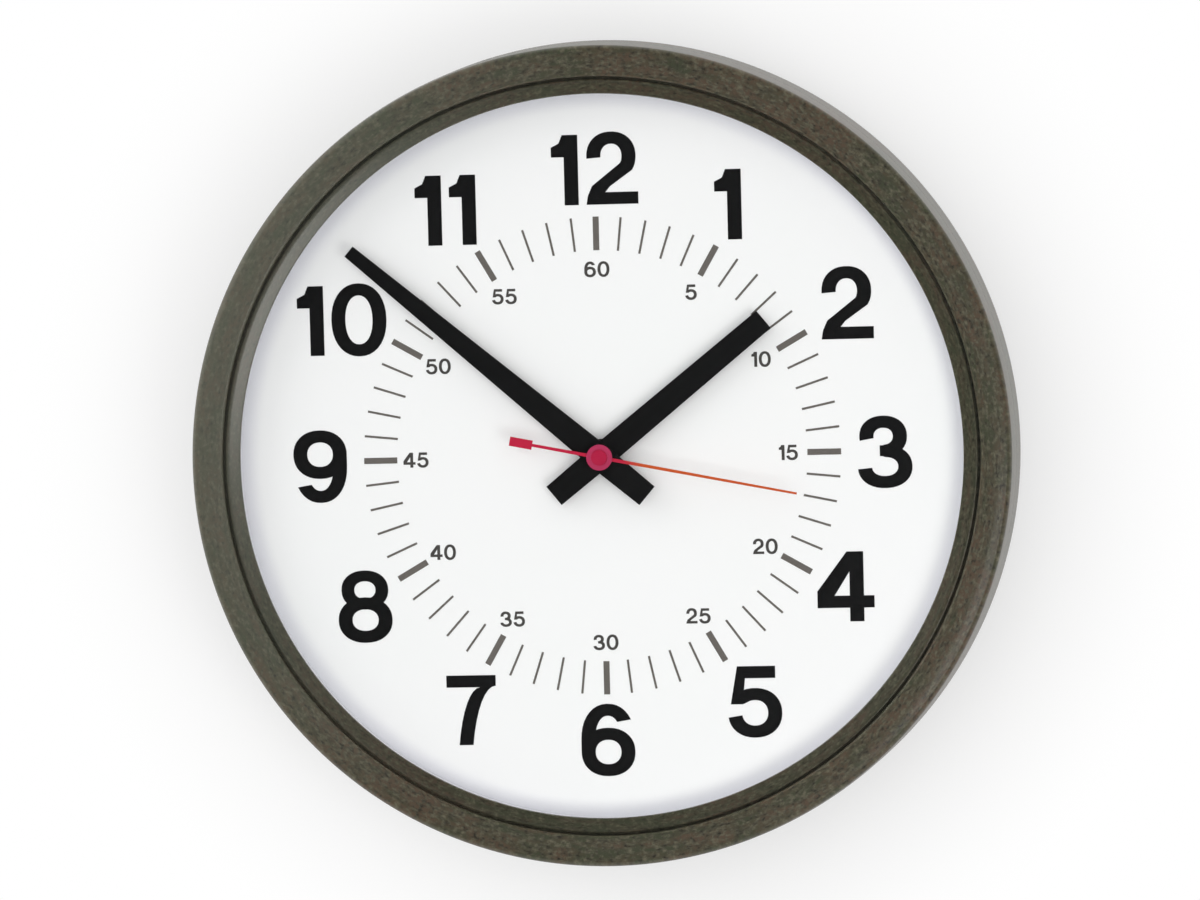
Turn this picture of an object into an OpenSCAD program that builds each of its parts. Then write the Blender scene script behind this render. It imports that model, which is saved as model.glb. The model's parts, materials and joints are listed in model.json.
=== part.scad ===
// Round electric wall clock with a synchronous motor and three hands.
// Seen from the front: X to the right, Z up, the wall at Y = 0 and the face towards -Y.
// The origin is the point on the wall where the hanging screw carries the clock.
// Inside the modules the clock is drawn in plan: x right, y up, height h above the wall.

/* [Case] */
// Outer diameter of the bezel at its front edge
bezel_d = 336; // [330:0.5:342]
// Extra radius of the case at the wall
case_flare = 5; // [3:0.25:8]
// Depth from the wall to the front of the bezel
case_depth = 51; // [50.5:0.25:53]
// Sheet thickness of the case and the bezel
sheet = 1; // [0.8:0.1:1.2]
// Distance from the front of the bezel back to the seam between case and bezel
seam_drop = 25; // [24:0.5:30]
// Open joint line at that seam
seam_gap = 0.4; // [0.2:0.1:0.8]
// Height of the case's rear rim above the wall, which the pads take up
rim_h = 0.6; // [0.4:0.1:1]
// Radius of the bezel's outer front corner
corner_r = 3; // [2:0.25:4]
// Rise of the bezel's crowned face above its two edges
crown = 0.4; // [0.2:0.1:1]
// Width of the bezel's face from its outer edge to its inner lip
face_w = 12.85; // [12:0.05:13.4]
// Rounding of that lip
lip_round = 1.2; // [1.1:0.1:1.6]
// Depth of the lip below the front of the bezel
lip_drop = 4.6; // [4:0.1:5]
// Distance from the bezel's outer edge in to the inner edge of the back cover's flange
flange_inset = 18; // [16:0.25:22]
// Width of the ledge under the edge of the dial
ledge_w = 5.4; // [3.5:0.1:8]

/* [Glass] */
// Width of the shadow groove between bezel lip and inner ring
groove_w = 1; // [0.6:0.1:1.4]
// Width of the inner ring's sloping face, down to the clear opening
ring_w = 5.8; // [5.3:0.1:6.4]
// Width of the flange that holds the inner ring behind the lip
ring_hold = 3.7; // [2.4:0.1:5]
// Width of the glass's edge behind the inner ring
lens_lap = 4.9; // [4:0.1:5.4]
// Thickness of the glass
lens_t = 2.4; // [2:0.1:2.6]
// Rise of the domed glass at its centre
lens_rise = 5.2; // [4.5:0.1:5.6]
// Thickness of the gasket on the glass
gasket_t = 0.5; // [0.4:0.1:0.8]

/* [Dial] */
// Width of the dial's edge behind the inner ring
dial_lap = 2.8; // [2.4:0.1:3.4]
// Thickness of the dial plate
dial_t = 1.2; // [0.8:0.1:1.4]
// Depth of the dial's face below the front of the bezel
dial_drop = 17.2; // [17:0.1:17.6]
// Thickness of the printed ink
ink_t = 0.12; // [0.08:0.01:0.2]
// Height of the hour numerals
hour_num_h = 29; // [24:0.5:31]
// Stroke width of the hour numerals
hour_num_w = 5.8; // [4.5:0.1:6.4]
// Distance from the opening's edge in to the circle of the hour numerals
hour_num_inset = 31.35; // [29:0.05:34]
// Height of the minute numerals
minute_num_h = 6.2; // [5:0.1:7]
// Stroke width of the minute numerals
minute_num_w = 1.2; // [0.8:0.05:1.3]
// Distance from the hour numerals' circle in to the minute marks
mark_inset = 18.4; // [17:0.1:20]
// Length of the minute marks
mark_len = 13.8; // [10:0.1:15]
// Distance from the minute marks in to the circle of the minute numerals
minute_num_inset = 7.8; // [6:0.1:10]
// Width of a minute mark
mark_w = 0.9; // [0.6:0.1:1.4]
// Width of a five-minute mark
five_mark_w = 2.5; // [1.6:0.1:3.2]

/* [Hands] */
// Length of the hour hand from the pivot
hour_len = 87.5; // [70:0.5:100]
// Width of the hour hand at its tip
hour_tip_w = 9.2; // [7:0.1:10]
// Width of the hour hand at the pivot
hour_root_w = 10.4; // [10:0.1:12]
// Distance from the minute hand's tip to the edge of the opening
minute_short = 14.85; // [10:0.05:30]
// Width of the minute hand at its tip
minute_tip_w = 5.3; // [4:0.1:7]
// Width of the minute hand at the pivot
minute_root_w = 10.7; // [10:0.1:12]
// Length of the tail of the hour and minute hands
tail_len = 25; // [18:0.5:30]
// Width of those tails at the end
tail_w = 9.8; // [8:0.1:11]
// Thickness of the hour and minute hands
hand_t = 0.8; // [0.6:0.1:0.9]
// Length of the second hand from the pivot
second_len = 82; // [70:0.5:100]
// Width of the second hand at its tip
second_w = 0.9; // [0.7:0.1:1.4]
// Distance from the pivot to the end of the second hand's counterweight
counter_end = 37.5; // [30:0.5:42]
// Length of the counterweight
counter_len = 9.4; // [7:0.1:12]
// Width of the counterweight
counter_w = 3.8; // [3:0.1:5]
// Dial angle that the hour hand shows, clockwise from 12
hour_angle = 51.2; // [0:0.1:359.9]
// Dial angle that the minute hand shows
minute_angle = 310.5; // [0:0.1:359.9]
// Dial angle that the second hand shows
second_angle = 101.5; // [0:0.1:359.9]

/* [Wall fixing] */
// Distance from the flange's inner edge down to the hanging point
hang_inset = 32; // [28:0.5:40]
// Radius of the keyhole's round entry
key_entry_r = 5; // [4.5:0.1:5.5]
// Radius of the keyhole's slot
key_slot_r = 2.5; // [2.2:0.1:2.8]
// Distance from the entry up to the end of the slot
key_drop = 11; // [10:0.5:12]
// Thickness of the hanging plate
hanger_t = 1.6; // [1.2:0.1:1.8]
// Height of the back cover above the wall
cover_h = 2.2; // [2:0.1:2.4]
// Width of the back cover's edge on its flange
cover_lap = 8; // [7:0.5:10]
// Radius of the bore that takes the supply lead
inlet_r = 4; // [3:0.1:4.5]
// Radius of a wall pad
pad_r = 8; // [6:0.5:10]

/* [Movement] */
// Thickness of the movement plates
plate_t = 1.2; // [1:0.1:1.2]
// Share of the depth behind the front plate that lies between the plates
gap_share = 0.553; // [0.53:0.001:0.57]
// Radius of the set knob
knob_r = 9; // [7:0.5:10]
// Outer radius of the threaded centre bushing
bush_r = 5; // [4.8:0.1:5.4]
// Radial running clearance of every shaft in its hole
run = 0.05; // [0.03:0.01:0.08]
// Radius of the second arbor
second_r = 1; // [0.9:0.05:1.05]
// Radius of the motor cup
motor_r = 23; // [22.5:0.1:23.5]
// Radius of the rotor magnet
rotor_r = 8.5; // [8:0.1:8.6]
// Thickness of the train wheels
wheel_t = 1; // [0.8:0.1:1.1]
// Thinning of each gear tooth, for backlash
tooth_slack = 0.06; // [0.04:0.01:0.1]
// Gear module of the motor reduction
reduction_m = 0.4; // [0.4:0.005:0.405]
// Gear module of the pair that drives the second wheel
drive_m = 0.6; // [0.6:0.005:0.605]
// Gear module between second pinion and middle wheel
middle_m = 0.4; // [0.4:0.005:0.405]
// Gear module between cannon pinion and motion wheel
motion_m = 0.5; // [0.5:0.005:0.505]

/* [Hidden] */
$fn = 96;

// Colours of the finishes
bronze = [0.31, 0.29, 0.24];
ink = [0.06, 0.06, 0.07];
steel = [0.62, 0.62, 0.62];
brass = [0.72, 0.58, 0.3];
red = [0.76, 0.06, 0.26];

// Small clearances that several pieces share
seat = 0.1;
press = 0.01;
cut = 1;
bobbin_play = 0.2;
cup_play = 0.3;
end_play = 0.3;

// Heights above the wall
cover_front = cover_h + sheet;
flange_front = cover_front + sheet;
seam_h = case_depth - seam_drop;
dial_h = case_depth - dial_drop;
dial_back = dial_h - dial_t;
bush_flange_t = 1.4;
front_plate_h = dial_back - bush_flange_t - plate_t;
plate_gap = gap_share * (front_plate_h - cover_front);
rear_plate_h = front_plate_h - plate_gap - plate_t;
cup_gap = 1.4;
cup_h = cover_front + cup_gap;

// Heights of the wheels: six steps up from the first, with more room for the clutch spring
first_rise = 1;
clutch_room = 0.4;
hour_down = 0.2;
pinion_over = 0.3;
pinion_t = wheel_t + 2 * pinion_over;
wheel_room = plate_gap - first_rise - clutch_room + hour_down;
layer = (wheel_room - wheel_t - pinion_over - end_play) / 6;
first_h = rear_plate_h + plate_t + first_rise;
output_h = first_h + layer;
second_h = output_h + layer;
middle_h = second_h + layer;
minute_h = middle_h + layer;
motion_h = minute_h + layer + clutch_room;
hour_h = motion_h + layer - hour_down;
shoulder_t = 0.5;
shoulder_w = 0.9;

// Heights of the front: inner ring, glass and hands
ring_flange_t = 1;
bush_rise = 4;
hour_gap = 0.9;
minute_gap = 2;
second_gap = 1.9;
second_t = 0.5;
hub_t = 2;
lip_h = case_depth - lip_drop;
ring_h = lip_h - seat;
ring_bottom = ring_h - ring_flange_t;
lens_front = ring_bottom - gasket_t;
lens_back = lens_front - lens_t;
bush_top = dial_h + bush_rise;
hour_hand_h = bush_top + hour_gap;
minute_hand_h = hour_hand_h + hand_t + minute_gap;
second_hand_h = minute_hand_h + hand_t + second_gap;
hub_top = second_hand_h + hub_t;

// Radii of the case, the bezel and the glass
case_d = bezel_d + 2 * case_flare;
lip_r = bezel_d / 2 - face_w;
lip_edge = lip_r + lip_round;
flange_r = bezel_d / 2 - flange_inset;
cover_r = flange_r + cover_lap;
hang_rise = flange_r - hang_inset;
neck_gap = 0.3;
neck_r = flare(dial_back) - sheet - neck_gap;
ring_r = lip_r - groove_w;
ring_flange_r = lip_r + ring_hold;
opening_r = ring_r - ring_w;
lens_r = opening_r + lens_lap;
dial_r = opening_r + dial_lap;
ledge_r = dial_r - ledge_w;
gasket_step = 0.8;
ring_step = 1.4;

// Radii of the print, and the length of the minute hand
hour_num_r = opening_r - hour_num_inset;
mark_out_r = hour_num_r - mark_inset;
mark_in_r = mark_out_r - mark_len;
minute_num_r = mark_in_r - minute_num_inset;
minute_len = opening_r - minute_short;

// Shift of each hour numeral from its place on the circle, right and up, spaced by eye
hour_num_shift = [[-4, 1], [1, 2], [-0.5, -0.5], [-2, 3], [2.5, -1], [0, -0.5],
    [2, -3], [1.5, -2], [0, -2], [-5, 0], [-3.5, 1.5], [0, 1]];

// Tooth counts
rotor_n = 8;
first_n = 60;
reduction_pinion_n = 8;
output_n = 64;
drive_pinion_n = 10;
second_n = 40;
second_pinion_n = 8;
middle_n = 64;
middle_pinion_n = 8;
minute_n = 60;
cannon_n = 12;
motion_n = 36;
motion_pinion_n = 10;
hour_n = 40;
set_n = 12;
pressure = 20;
wheel_add = 0.5;
wheel_ded = 1.35;
pinion_add = 1;
pinion_ded = 0.85;

// The third and fifth modules follow, so that both pairs have one centre distance
minute_m = middle_m * (second_pinion_n + middle_n) / (middle_pinion_n + minute_n);
hour_m = motion_m * (cannon_n + motion_n) / (motion_pinion_n + hour_n);

// Directions from each axis to the next, anticlockwise from the right
output_dir = -125;
first_dir = -75;
rotor_dir = 10;
middle_dir = 150;
motion_dir = 20;
set_dir = 40;

// Axis places in plan
centre = [0, 0];
output_at = polar(centres(drive_m, drive_pinion_n, second_n), output_dir);
first_at = output_at + polar(centres(reduction_m, reduction_pinion_n, output_n), first_dir);
rotor_at = first_at + polar(centres(reduction_m, rotor_n, first_n), rotor_dir);
middle_at = polar(centres(middle_m, second_pinion_n, middle_n), middle_dir);
motion_at = polar(centres(motion_m, cannon_n, motion_n), motion_dir);
set_at = motion_at + polar(centres(motion_m, set_n, motion_n), set_dir);

// Tooth phases, each worked out from the gear that it meshes with
output_pinion_phase = meshed(output_dir, second_n, 0, drive_pinion_n);
first_pinion_phase = meshed(first_dir, output_n, 0, reduction_pinion_n);
rotor_phase = meshed(rotor_dir, first_n, 0, rotor_n);
middle_phase = meshed(middle_dir, second_pinion_n, 0, middle_n);
middle_pinion_phase = meshed(middle_dir, minute_n, 0, middle_pinion_n);
motion_phase = meshed(motion_dir, cannon_n, 0, motion_n);
motion_pinion_phase = meshed(motion_dir, hour_n, 0, motion_pinion_n);
set_phase = meshed(set_dir, motion_n, motion_phase, set_n);

// Shafts and pipes around the centre
cannon_in = second_r + run;
cannon_r = cannon_in + 1;
pipe_in = cannon_r + run;
pipe_r = pipe_in + 1;
bush_in = pipe_r + run;
pivot_r = 0.6;
arbor_r = 0.9;
set_r = 1.5;
set_pivot_r = 1;
set_inset = 1;
stud_r = 1;
clip_t = 0.4;
clip_gap = 0.2;
clip_w = 1.2;
cannon_over = 1.2;

// Washer and nut that hold the dial on the bushing
dial_washer_w = 2.2;
dial_washer_t = 0.5;
dial_nut_w = 2.1;
dial_nut_t = 2.4;
bush_flange_w = 2.6;

// Movement plates and pillars
plate_x = 33;
plate_top = 30;
plate_bottom = -52;
plate_corner = 6;
pillar_r = 2.6;
pillar_inset = 6;
pillar_places = [for (x = [-1, 1], y = [plate_top - pillar_inset, plate_bottom + pillar_inset])
    [x * (plate_x - pillar_inset), y]];
screw_r = 1.2;
screw_head_r = 2.6;
nut_r = 2.9;
nut_t = 2;
screw_over = 0.4;

// Motor
cup_wall = 1.2;
pole_count = 15;
air_gap = 0.6;
pole_r = rotor_r + air_gap;
pole_t = 1.1;
pole_w = 1.25;
pole_short = 1;
bobbin_in = pole_r + pole_t + cup_play;
bobbin_wall = 0.8;
bobbin_out = motor_r - cup_wall - cup_play;
bobbin_h = cup_h + cup_wall + bobbin_play;
bobbin_top = rear_plate_h - cup_wall - bobbin_play;
winding_inset = 0.4;
rotor_hole_r = 2.4;
ear_step = 4;
ear_reach = motor_r + ear_step;
ear_r = 4.2;
ear_root = 3;
ear_dirs = [45, 225];
lead_r = 0.7;
lead_h = (bobbin_h + bobbin_top) / 2;
lead_offsets = [-2.4, 2.4];
lead_grip = 3;
lead_play = 0.2;
terminal_offsets = [-5.8, 5.8];
terminal_r = 1.6;
terminal_depth = 4;

// Wall fixing
hang_at = [0, hang_rise];
entry_at = hang_at - [0, key_drop];
hanger_w = 34;
hanger_h = 44;
hanger_at = (hang_at + entry_at) / 2;
window_side = 3;
window_end = 4;
window_w = 2 * (key_entry_r + window_side);
window_h = key_drop + key_entry_r + key_slot_r + 2 * window_end;
rivet_r = 1.6;
rivet_inset = 4;
rivet_places = [for (x = [-1, 1], y = [-1, 1])
    hanger_at + [x * (hanger_w / 2 - rivet_inset), y * (hanger_h / 2 - rivet_inset)]];
finger_room = 7;
knob_hole_r = knob_r + finger_room;
pad_inset = 12;
pad_ring_r = flange_r - pad_inset;
pad_dirs = [30, 150, 270];
cover_screw_ring_r = (flange_r + cover_r) / 2;
cover_screw_dirs = [45, 135, 225, 315];
block_at = [-52, -24];
block_size = [16, 24, 8];
inlet_at = [-52, -52];
grommet_wall = 1.6;
grommet_r = inlet_r + grommet_wall;
grommet_flange = 1.6;
bezel_screw_dirs = [105, 195, 285];
bezel_screw_h = (seam_h + dial_back) / 2;
bezel_screw_over = 1.5;
bezel_screw_l = flare(bezel_screw_h) - neck_r + sheet + bezel_screw_over;
bezel_head_r = 2.1;
bezel_sink = 0.9;

function polar(r, a) = [r * cos(a), r * sin(a)];
function arc(c, r, a0, a1, n) = [for (i = [0:n]) c + polar(r, a0 + (a1 - a0) * i / n)];
function flare(h) = case_d / 2 + (bezel_d - case_d) / 2 * h / case_depth;
function centres(m, n1, n2) = m * (n1 + n2) / 2;

// Phase of the second gear of a pair, whose axis lies in direction dir from the first
function meshed(dir, n1, phase1, n2) = dir + 180 + 180 / n2 + (dir - phase1) * n1 / n2;

// Involute angle in degrees, and half a tooth's angle at radius r
function inv(a) = tan(a) * 180 / PI - a;
function half_tooth(n, m, r) =
    let (rp = n * m / 2, rb = rp * cos(pressure))
    90 / n - tooth_slack / 2 / rp * 180 / PI + inv(pressure) - (r > rb ? inv(acos(rb / r)) : 0);

// Radii at which a tooth's flank has a point
function flank_radii(n, m, add, ded) =
    let (rp = n * m / 2, rb = rp * cos(pressure), root = rp - ded * m, tip = rp + add * m)
    rb > root ? [root, rb, (rb + tip) / 2, tip] : [root, rp, tip];
function gear_points(n, m, add, ded, phase) =
    let (rs = flank_radii(n, m, add, ded), last = len(rs) - 1)
    [for (k = [0:n - 1]) let (c = phase + 360 * k / n)
        each concat([for (r = rs) polar(r, c - half_tooth(n, m, r))],
            [for (i = [last:-1:0]) polar(rs[i], c + half_tooth(n, m, rs[i]))])];

// Everything is drawn in plan, then stood up against the wall with its hanging point at the origin
module on_wall() {
    translate([0, 0, -hang_rise]) rotate([90, 0, 0]) children();
}

module at(p, h = 0) {
    translate([p[0], p[1], h]) children();
}

module disc(r, t, hole = 0) {
    linear_extrude(t) difference() {
        circle(r);
        if (hole > 0) circle(hole);
    }
}

module wheel(n, m, phase, hole) {
    rp = n * m / 2;
    windows = 4;
    window_at = 0.58 * rp;
    window_r = 0.22 * rp;
    linear_extrude(wheel_t) difference() {
        polygon(gear_points(n, m, wheel_add, wheel_ded, phase));
        circle(hole);
        for (k = [0:windows - 1]) rotate(360 * (k + 0.5) / windows) translate([window_at, 0])
            circle(window_r);
    }
}

module pinion(n, m, phase, t, hole = 0) {
    linear_extrude(t) difference() {
        polygon(gear_points(n, m, pinion_add, pinion_ded, phase));
        if (hole > 0) circle(hole);
    }
}

// Driver slot cut into a screw head whose face is at height 0 and looks up or down
module screw_slot(side) {
    slot_w = 0.7;
    slot_d = 0.6;
    half = screw_head_r + cut;
    translate([-half, -slot_w / 2, side > 0 ? -slot_d : -cut]) cube([2 * half, slot_w, slot_d + cut]);
}

// Arbor between the plates, with a pivot in each, a wheel seat and a pinion
module train_arbor(seat_h, pinion_h, n, m, phase) {
    rear = rear_plate_h + plate_t + end_play;
    front = front_plate_h - end_play;
    union() {
        at(centre, rear) cylinder(r = arbor_r, h = front - rear);
        at(centre, rear_plate_h) cylinder(r = pivot_r, h = front_plate_h + plate_t - rear_plate_h);
        at(centre, pinion_h - pinion_over) pinion(n, m, phase, pinion_t);
        at(centre, seat_h - shoulder_t) cylinder(r = arbor_r + shoulder_w, h = shoulder_t);
    }
}

// Case

module case_shell() {
    color(bronze) on_wall() difference() {
        rotate_extrude() polygon([
            [flare(rim_h), rim_h], [flare(seam_h), seam_h], [neck_r, seam_h], [neck_r, dial_back],
            [ledge_r, dial_back], [ledge_r, dial_back - sheet],
            [neck_r - sheet, dial_back - sheet], [neck_r - sheet, seam_h - sheet],
            [flare(seam_h - sheet) - sheet, seam_h - sheet],
            [flare(flange_front) - sheet, flange_front], [flange_r, flange_front],
            [flange_r, cover_front], [flare(cover_front) - sheet, cover_front],
            [flare(rim_h) - sheet, rim_h]]);
        for (a = cover_screw_dirs) at(polar(cover_screw_ring_r, a), cover_front - cut)
            cylinder(r = screw_r + press, h = sheet + 2 * cut);
        at_bezel_screws() translate([0, 0, -bezel_screw_l])
            cylinder(r = screw_r + press, h = bezel_screw_l);
    }
}

// Places of the bezel screws: out of the sloping side, which lies at height 0 there
module at_bezel_screws() {
    tilt = atan(case_flare / case_depth);
    for (a = bezel_screw_dirs) rotate(a) at([flare(bezel_screw_h), 0], bezel_screw_h)
        rotate([0, 90 - tilt, 0]) children();
}

// Shank and countersunk head, wider all round by the given gap, the head going on by the given rise
module bezel_screw(gap, rise) {
    translate([0, 0, -bezel_screw_l]) cylinder(r = screw_r + gap, h = bezel_screw_l);
    translate([0, 0, -bezel_sink])
        cylinder(r1 = screw_r + gap, r2 = bezel_head_r + gap, h = bezel_sink);
    cylinder(r = bezel_head_r + gap, h = rise);
}

module bezel() {
    face_out = bezel_d / 2 - corner_r;
    edge_h = case_depth - crown;
    mid = (face_out + lip_edge) / 2;
    half = (face_out - lip_edge) / 2;
    // Circle whose arc over the face rises by the crown
    big = (half * half + crown * crown) / (2 * crown);
    sweep = asin(half / big);
    bottom = seam_h + seam_gap;
    outer = concat([[flare(bottom), bottom]], arc([face_out, edge_h - corner_r], corner_r, 4, 84, 6),
        arc([mid, case_depth - big], big, 90 - sweep, 90 + sweep, 10),
        arc([lip_edge, edge_h - lip_round], lip_round, 96, 180, 5), [[lip_r, lip_h]]);
    inner = concat([[lip_r + sheet, lip_h]],
        arc([lip_edge, edge_h - lip_round], lip_round - sheet, 180, 96, 3),
        arc([mid, case_depth - big], big - sheet, 90 + sweep, 90 - sweep, 6),
        arc([face_out, edge_h - corner_r], corner_r - sheet, 84, 4, 4),
        [[flare(bottom) - sheet, bottom]]);
    color(bronze) on_wall() difference() {
        rotate_extrude() polygon(concat(outer, inner));
        at_bezel_screws() bezel_screw(press, cut);
    }
}

module inner_ring() {
    rise = 2.2;
    fall = 0.4;
    edge = 0.6;
    color(bronze) on_wall() rotate_extrude() polygon([
        [ring_flange_r, ring_bottom], [ring_flange_r, ring_h], [ring_r, ring_h],
        [ring_r, lip_h + rise - edge], [ring_r - edge, lip_h + rise], [opening_r + edge, lip_h + fall],
        [opening_r, lip_h + fall - edge], [opening_r, ring_bottom]]);
}

// Radius of the sphere that the glass is part of, and its height at radius r
lens_big = (lens_r * lens_r + lens_rise * lens_rise) / (2 * lens_rise);
function dome(r) = sqrt(lens_big * lens_big - r * r) - lens_big + lens_rise;

module lens() {
    steps = 16;
    flat_r = opening_r;
    low = dome(flat_r);
    color([0.85, 0.9, 0.92], 0.25) on_wall() rotate_extrude() polygon(concat(
        [for (i = [0:steps]) let (r = flat_r * i / steps) [r, lens_front + dome(r) - low]],
        [[lens_r, lens_front], [lens_r, lens_back]],
        [for (i = [steps:-1:0]) let (r = flat_r * i / steps) [r, lens_back + dome(r) - low]]));
}

module lens_gasket() {
    color([0.08, 0.08, 0.08]) on_wall() at(centre, lens_front)
        disc(lens_r, gasket_t, opening_r + gasket_step);
}

module dial_ring() {
    color([0.93, 0.93, 0.92]) on_wall() at(centre, dial_h)
        disc(dial_r, lens_back - dial_h, opening_r + ring_step);
}

module bezel_screws() {
    slot_w = 0.6;
    slot_t = 0.5;
    head_over = 0.1;
    color(steel) on_wall() at_bezel_screws() difference() {
        bezel_screw(0, head_over);
        translate([-bezel_head_r - cut, -slot_w / 2, head_over - slot_t])
            cube([2 * (bezel_head_r + cut), slot_w, slot_t + cut]);
    }
}

// Dial

module dial_plate() {
    color([0.96, 0.97, 0.97]) on_wall() at(centre, dial_back) disc(dial_r, dial_t, bush_r + seat);
}

// Point of an oval that is a little squarer than an ellipse
function squared(v) = sign(v) * pow(abs(v), 0.92);
function on_oval(c, half, a) = c + [half[0] * squared(cos(a)), half[1] * squared(sin(a))];
function oval(c, half, a0, a1, n) = [for (i = [0:n]) on_oval(c, half, a0 + (a1 - a0) * i / n)];

// Whole oval ring: outer half axes, stroke widths along x and y
module ring_stroke(c, half, sx, sy) {
    n = 36;
    difference() {
        polygon(oval(c, half, 0, 360 - 360 / n, n - 1));
        polygon(oval(c, half - [sx, sy], 0, 360 - 360 / n, n - 1));
    }
}

// Part of such a ring from angle a0 to a1, whose inner edge starts at angle b0
module bow(c, half, sx, sy, a0, a1, b0) {
    n = ceil(abs(a1 - a0) / 10);
    polygon(concat(oval(c, half, a0, a1, n), oval(c, half - [sx, sy], a1, b0, n)));
}

// Digits on a grid 72 high, with upright strokes sv and level strokes sh wide
module digit(d, sv, sh) {
    if (d == 0) ring_stroke([28.5, 36], [28.5, 37.5], sv, sh);
    if (d == 1) polygon([[13, 0], [13 + sv, 0], [13 + sv, 71.5], [11.5, 71.5], [8, 63], [0, 59], [0, 49],
        [13, 49]]);
    if (d == 2) digit_two(sv, sh);
    if (d == 3) {
        bow([26.2, 51.7], [24.2, 21], sv, sh, -90, 190, -90);
        bow([27.7, 20.8], [27.7, 22], sv, sh, -175, 90, -175);
        translate([22.5, 31.5]) square([8, 11]);
    }
    if (d == 4) difference() {
        polygon([[33, 0], [33 + sv, 0], [33 + sv, 14], [58, 14], [58, 14 + sh], [33 + sv, 14 + sh],
            [33 + sv, 71.5], [30.5, 71.5], [0, 31], [0, 14], [33, 14]]);
        polygon([[sv + 3, 14 + sh], [33, 14 + sh], [33, 51]]);
    }
    if (d == 5) {
        bow([27.7, 24], [27.7, 25.5], sv, sh, -171, 125, -171);
        polygon([[3, 33], [15.5, 33], [21, 35.5], [24, 46], [16.5, 45.5], [18, 72 - sh], [49, 72 - sh],
            [49, 72], [10, 72]]);
    }
    if (d == 6) {
        ring_stroke([27.7, 23.5], [27.7, 25], sv, sh);
        bow([27.7, 36], [27.7, 37.3], sv, sh, 32, 190, 46);
        polygon([[0, 20], [sv, 24], [sv, 36], [0, 36]]);
    }
    if (d == 7) digit_seven(sv, sh);
    if (d == 8) {
        ring_stroke([28, 53.2], [24.3, 20.2], sv * 0.92, sh * 0.9);
        ring_stroke([28, 22.1], [28, 23.5], sv, sh);
    }
    if (d == 9) translate([55.4, 72]) rotate(180) digit(6, sv, sh);
}

module digit_two(sv, sh) {
    c = [26, 49];
    half = [25.2, 24.9];
    stop = -34;
    bow(c, half, sv, sh, stop, 184, stop);
    polygon([[0, 0], [53, 0], [53, sh], [sv + 5, sh], [sv + 10, sh + 6], on_oval(c, half, stop),
        on_oval(c, half - [sv, sh], stop), [6, 19], [1.5, 9]]);
}

// Seven: a level bar and a stem whose two edges curve down from it
module digit_seven(sv, sh) {
    n = 8;
    turn = 70;
    foot = 12;
    bar_end = 51;
    function across(i) = sin(i * turn / n) / sin(turn);
    function down(i) = 1 - (1 - cos(i * turn / n)) / (1 - cos(turn));
    polygon(concat([[0, 72], [0, 72 - sh]],
        [for (i = [0:n]) [35 - (35 - foot) * across(i), (72 - sh) * down(i)]],
        [for (i = [n:-1:0]) [bar_end - (bar_end - foot - sv) * across(i), 61 * down(i)]],
        [[bar_end, 72]]));
}

// Width of each digit on the same grid
function digit_w(d, sv) = d == 1 ? 13 + sv : [57, 0, 53, 55.4, 58, 55.4, 55.4, 51, 56, 55.4][d];

// One or two digits centred on a point
module number(v, height, stroke, p) {
    k = height / 72;
    sv = stroke / k;
    sh = sv * 0.86;
    gap = 8;
    tens = floor(v / 10);
    tens_w = tens > 0 ? digit_w(tens, sv) + gap : 0;
    ones_w = digit_w(v % 10, sv);
    translate(p) scale(k) translate([-(tens_w + ones_w) / 2, -36]) {
        if (tens > 0) digit(tens, sv, sh);
        translate([tens_w, 0]) digit(v % 10, sv, sh);
    }
}

module printed() {
    color(ink) on_wall() at(centre, dial_h) linear_extrude(ink_t) children();
}

module hour_numerals() {
    printed() for (k = [1:12])
        number(k, hour_num_h, hour_num_w, polar(hour_num_r, 90 - 30 * k) + hour_num_shift[k - 1]);
}

module minute_marks() {
    printed() for (k = [0:59]) rotate(-6 * k) {
        w = k % 5 == 0 ? five_mark_w : mark_w;
        translate([-w / 2, mark_in_r]) square([w, mark_out_r - mark_in_r]);
    }
}

module minute_numerals() {
    printed() for (k = [1:12])
        number(5 * k, minute_num_h, minute_num_w, polar(minute_num_r, 90 - 30 * k));
}

// Back

module back_cover() {
    slot_n = 5;
    slot_l = 26;
    slot_w = 3;
    slot_x = 80;
    slot_step = 9;
    color([0.3, 0.3, 0.31]) on_wall() at(centre, cover_h) linear_extrude(sheet) difference() {
        circle(cover_r);
        translate(set_at) circle(knob_hole_r);
        translate(inlet_at) circle(grommet_r);
        translate(hanger_at) square([window_w, window_h], center = true);
        for (p = rivet_places) translate(p) circle(rivet_r + press);
        for (a = cover_screw_dirs) translate(polar(cover_screw_ring_r, a)) circle(screw_r + press);
        for (s = [-1, 1], k = [0:slot_n - 1])
            translate([s * slot_x, (k - (slot_n - 1) / 2) * slot_step]) {
                square([slot_l, slot_w], center = true);
                for (e = [-1, 1]) translate([e * slot_l / 2, 0]) circle(slot_w / 2);
            }
    }
}

module cover_screws() {
    head_t = 1.2;
    over = 2;
    color(steel) on_wall() for (a = cover_screw_dirs) rotate(a) at([cover_screw_ring_r, 0])
        difference() {
            union() {
                at(centre, cover_h - head_t) cylinder(r = screw_head_r, h = head_t);
                at(centre, cover_h) cylinder(r = screw_r, h = 2 * sheet + over);
            }
            at(centre, cover_h - head_t) screw_slot(-1);
        }
}

module hanger_plate() {
    color(steel) on_wall() at(centre, cover_front) linear_extrude(hanger_t) difference() {
        translate(hanger_at) square([hanger_w, hanger_h], center = true);
        translate(entry_at) circle(key_entry_r);
        translate(hang_at) circle(key_slot_r);
        translate(entry_at + [-key_slot_r, 0]) square([2 * key_slot_r, key_drop]);
        for (p = rivet_places) translate(p) circle(rivet_r + press);
    }
}

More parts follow.
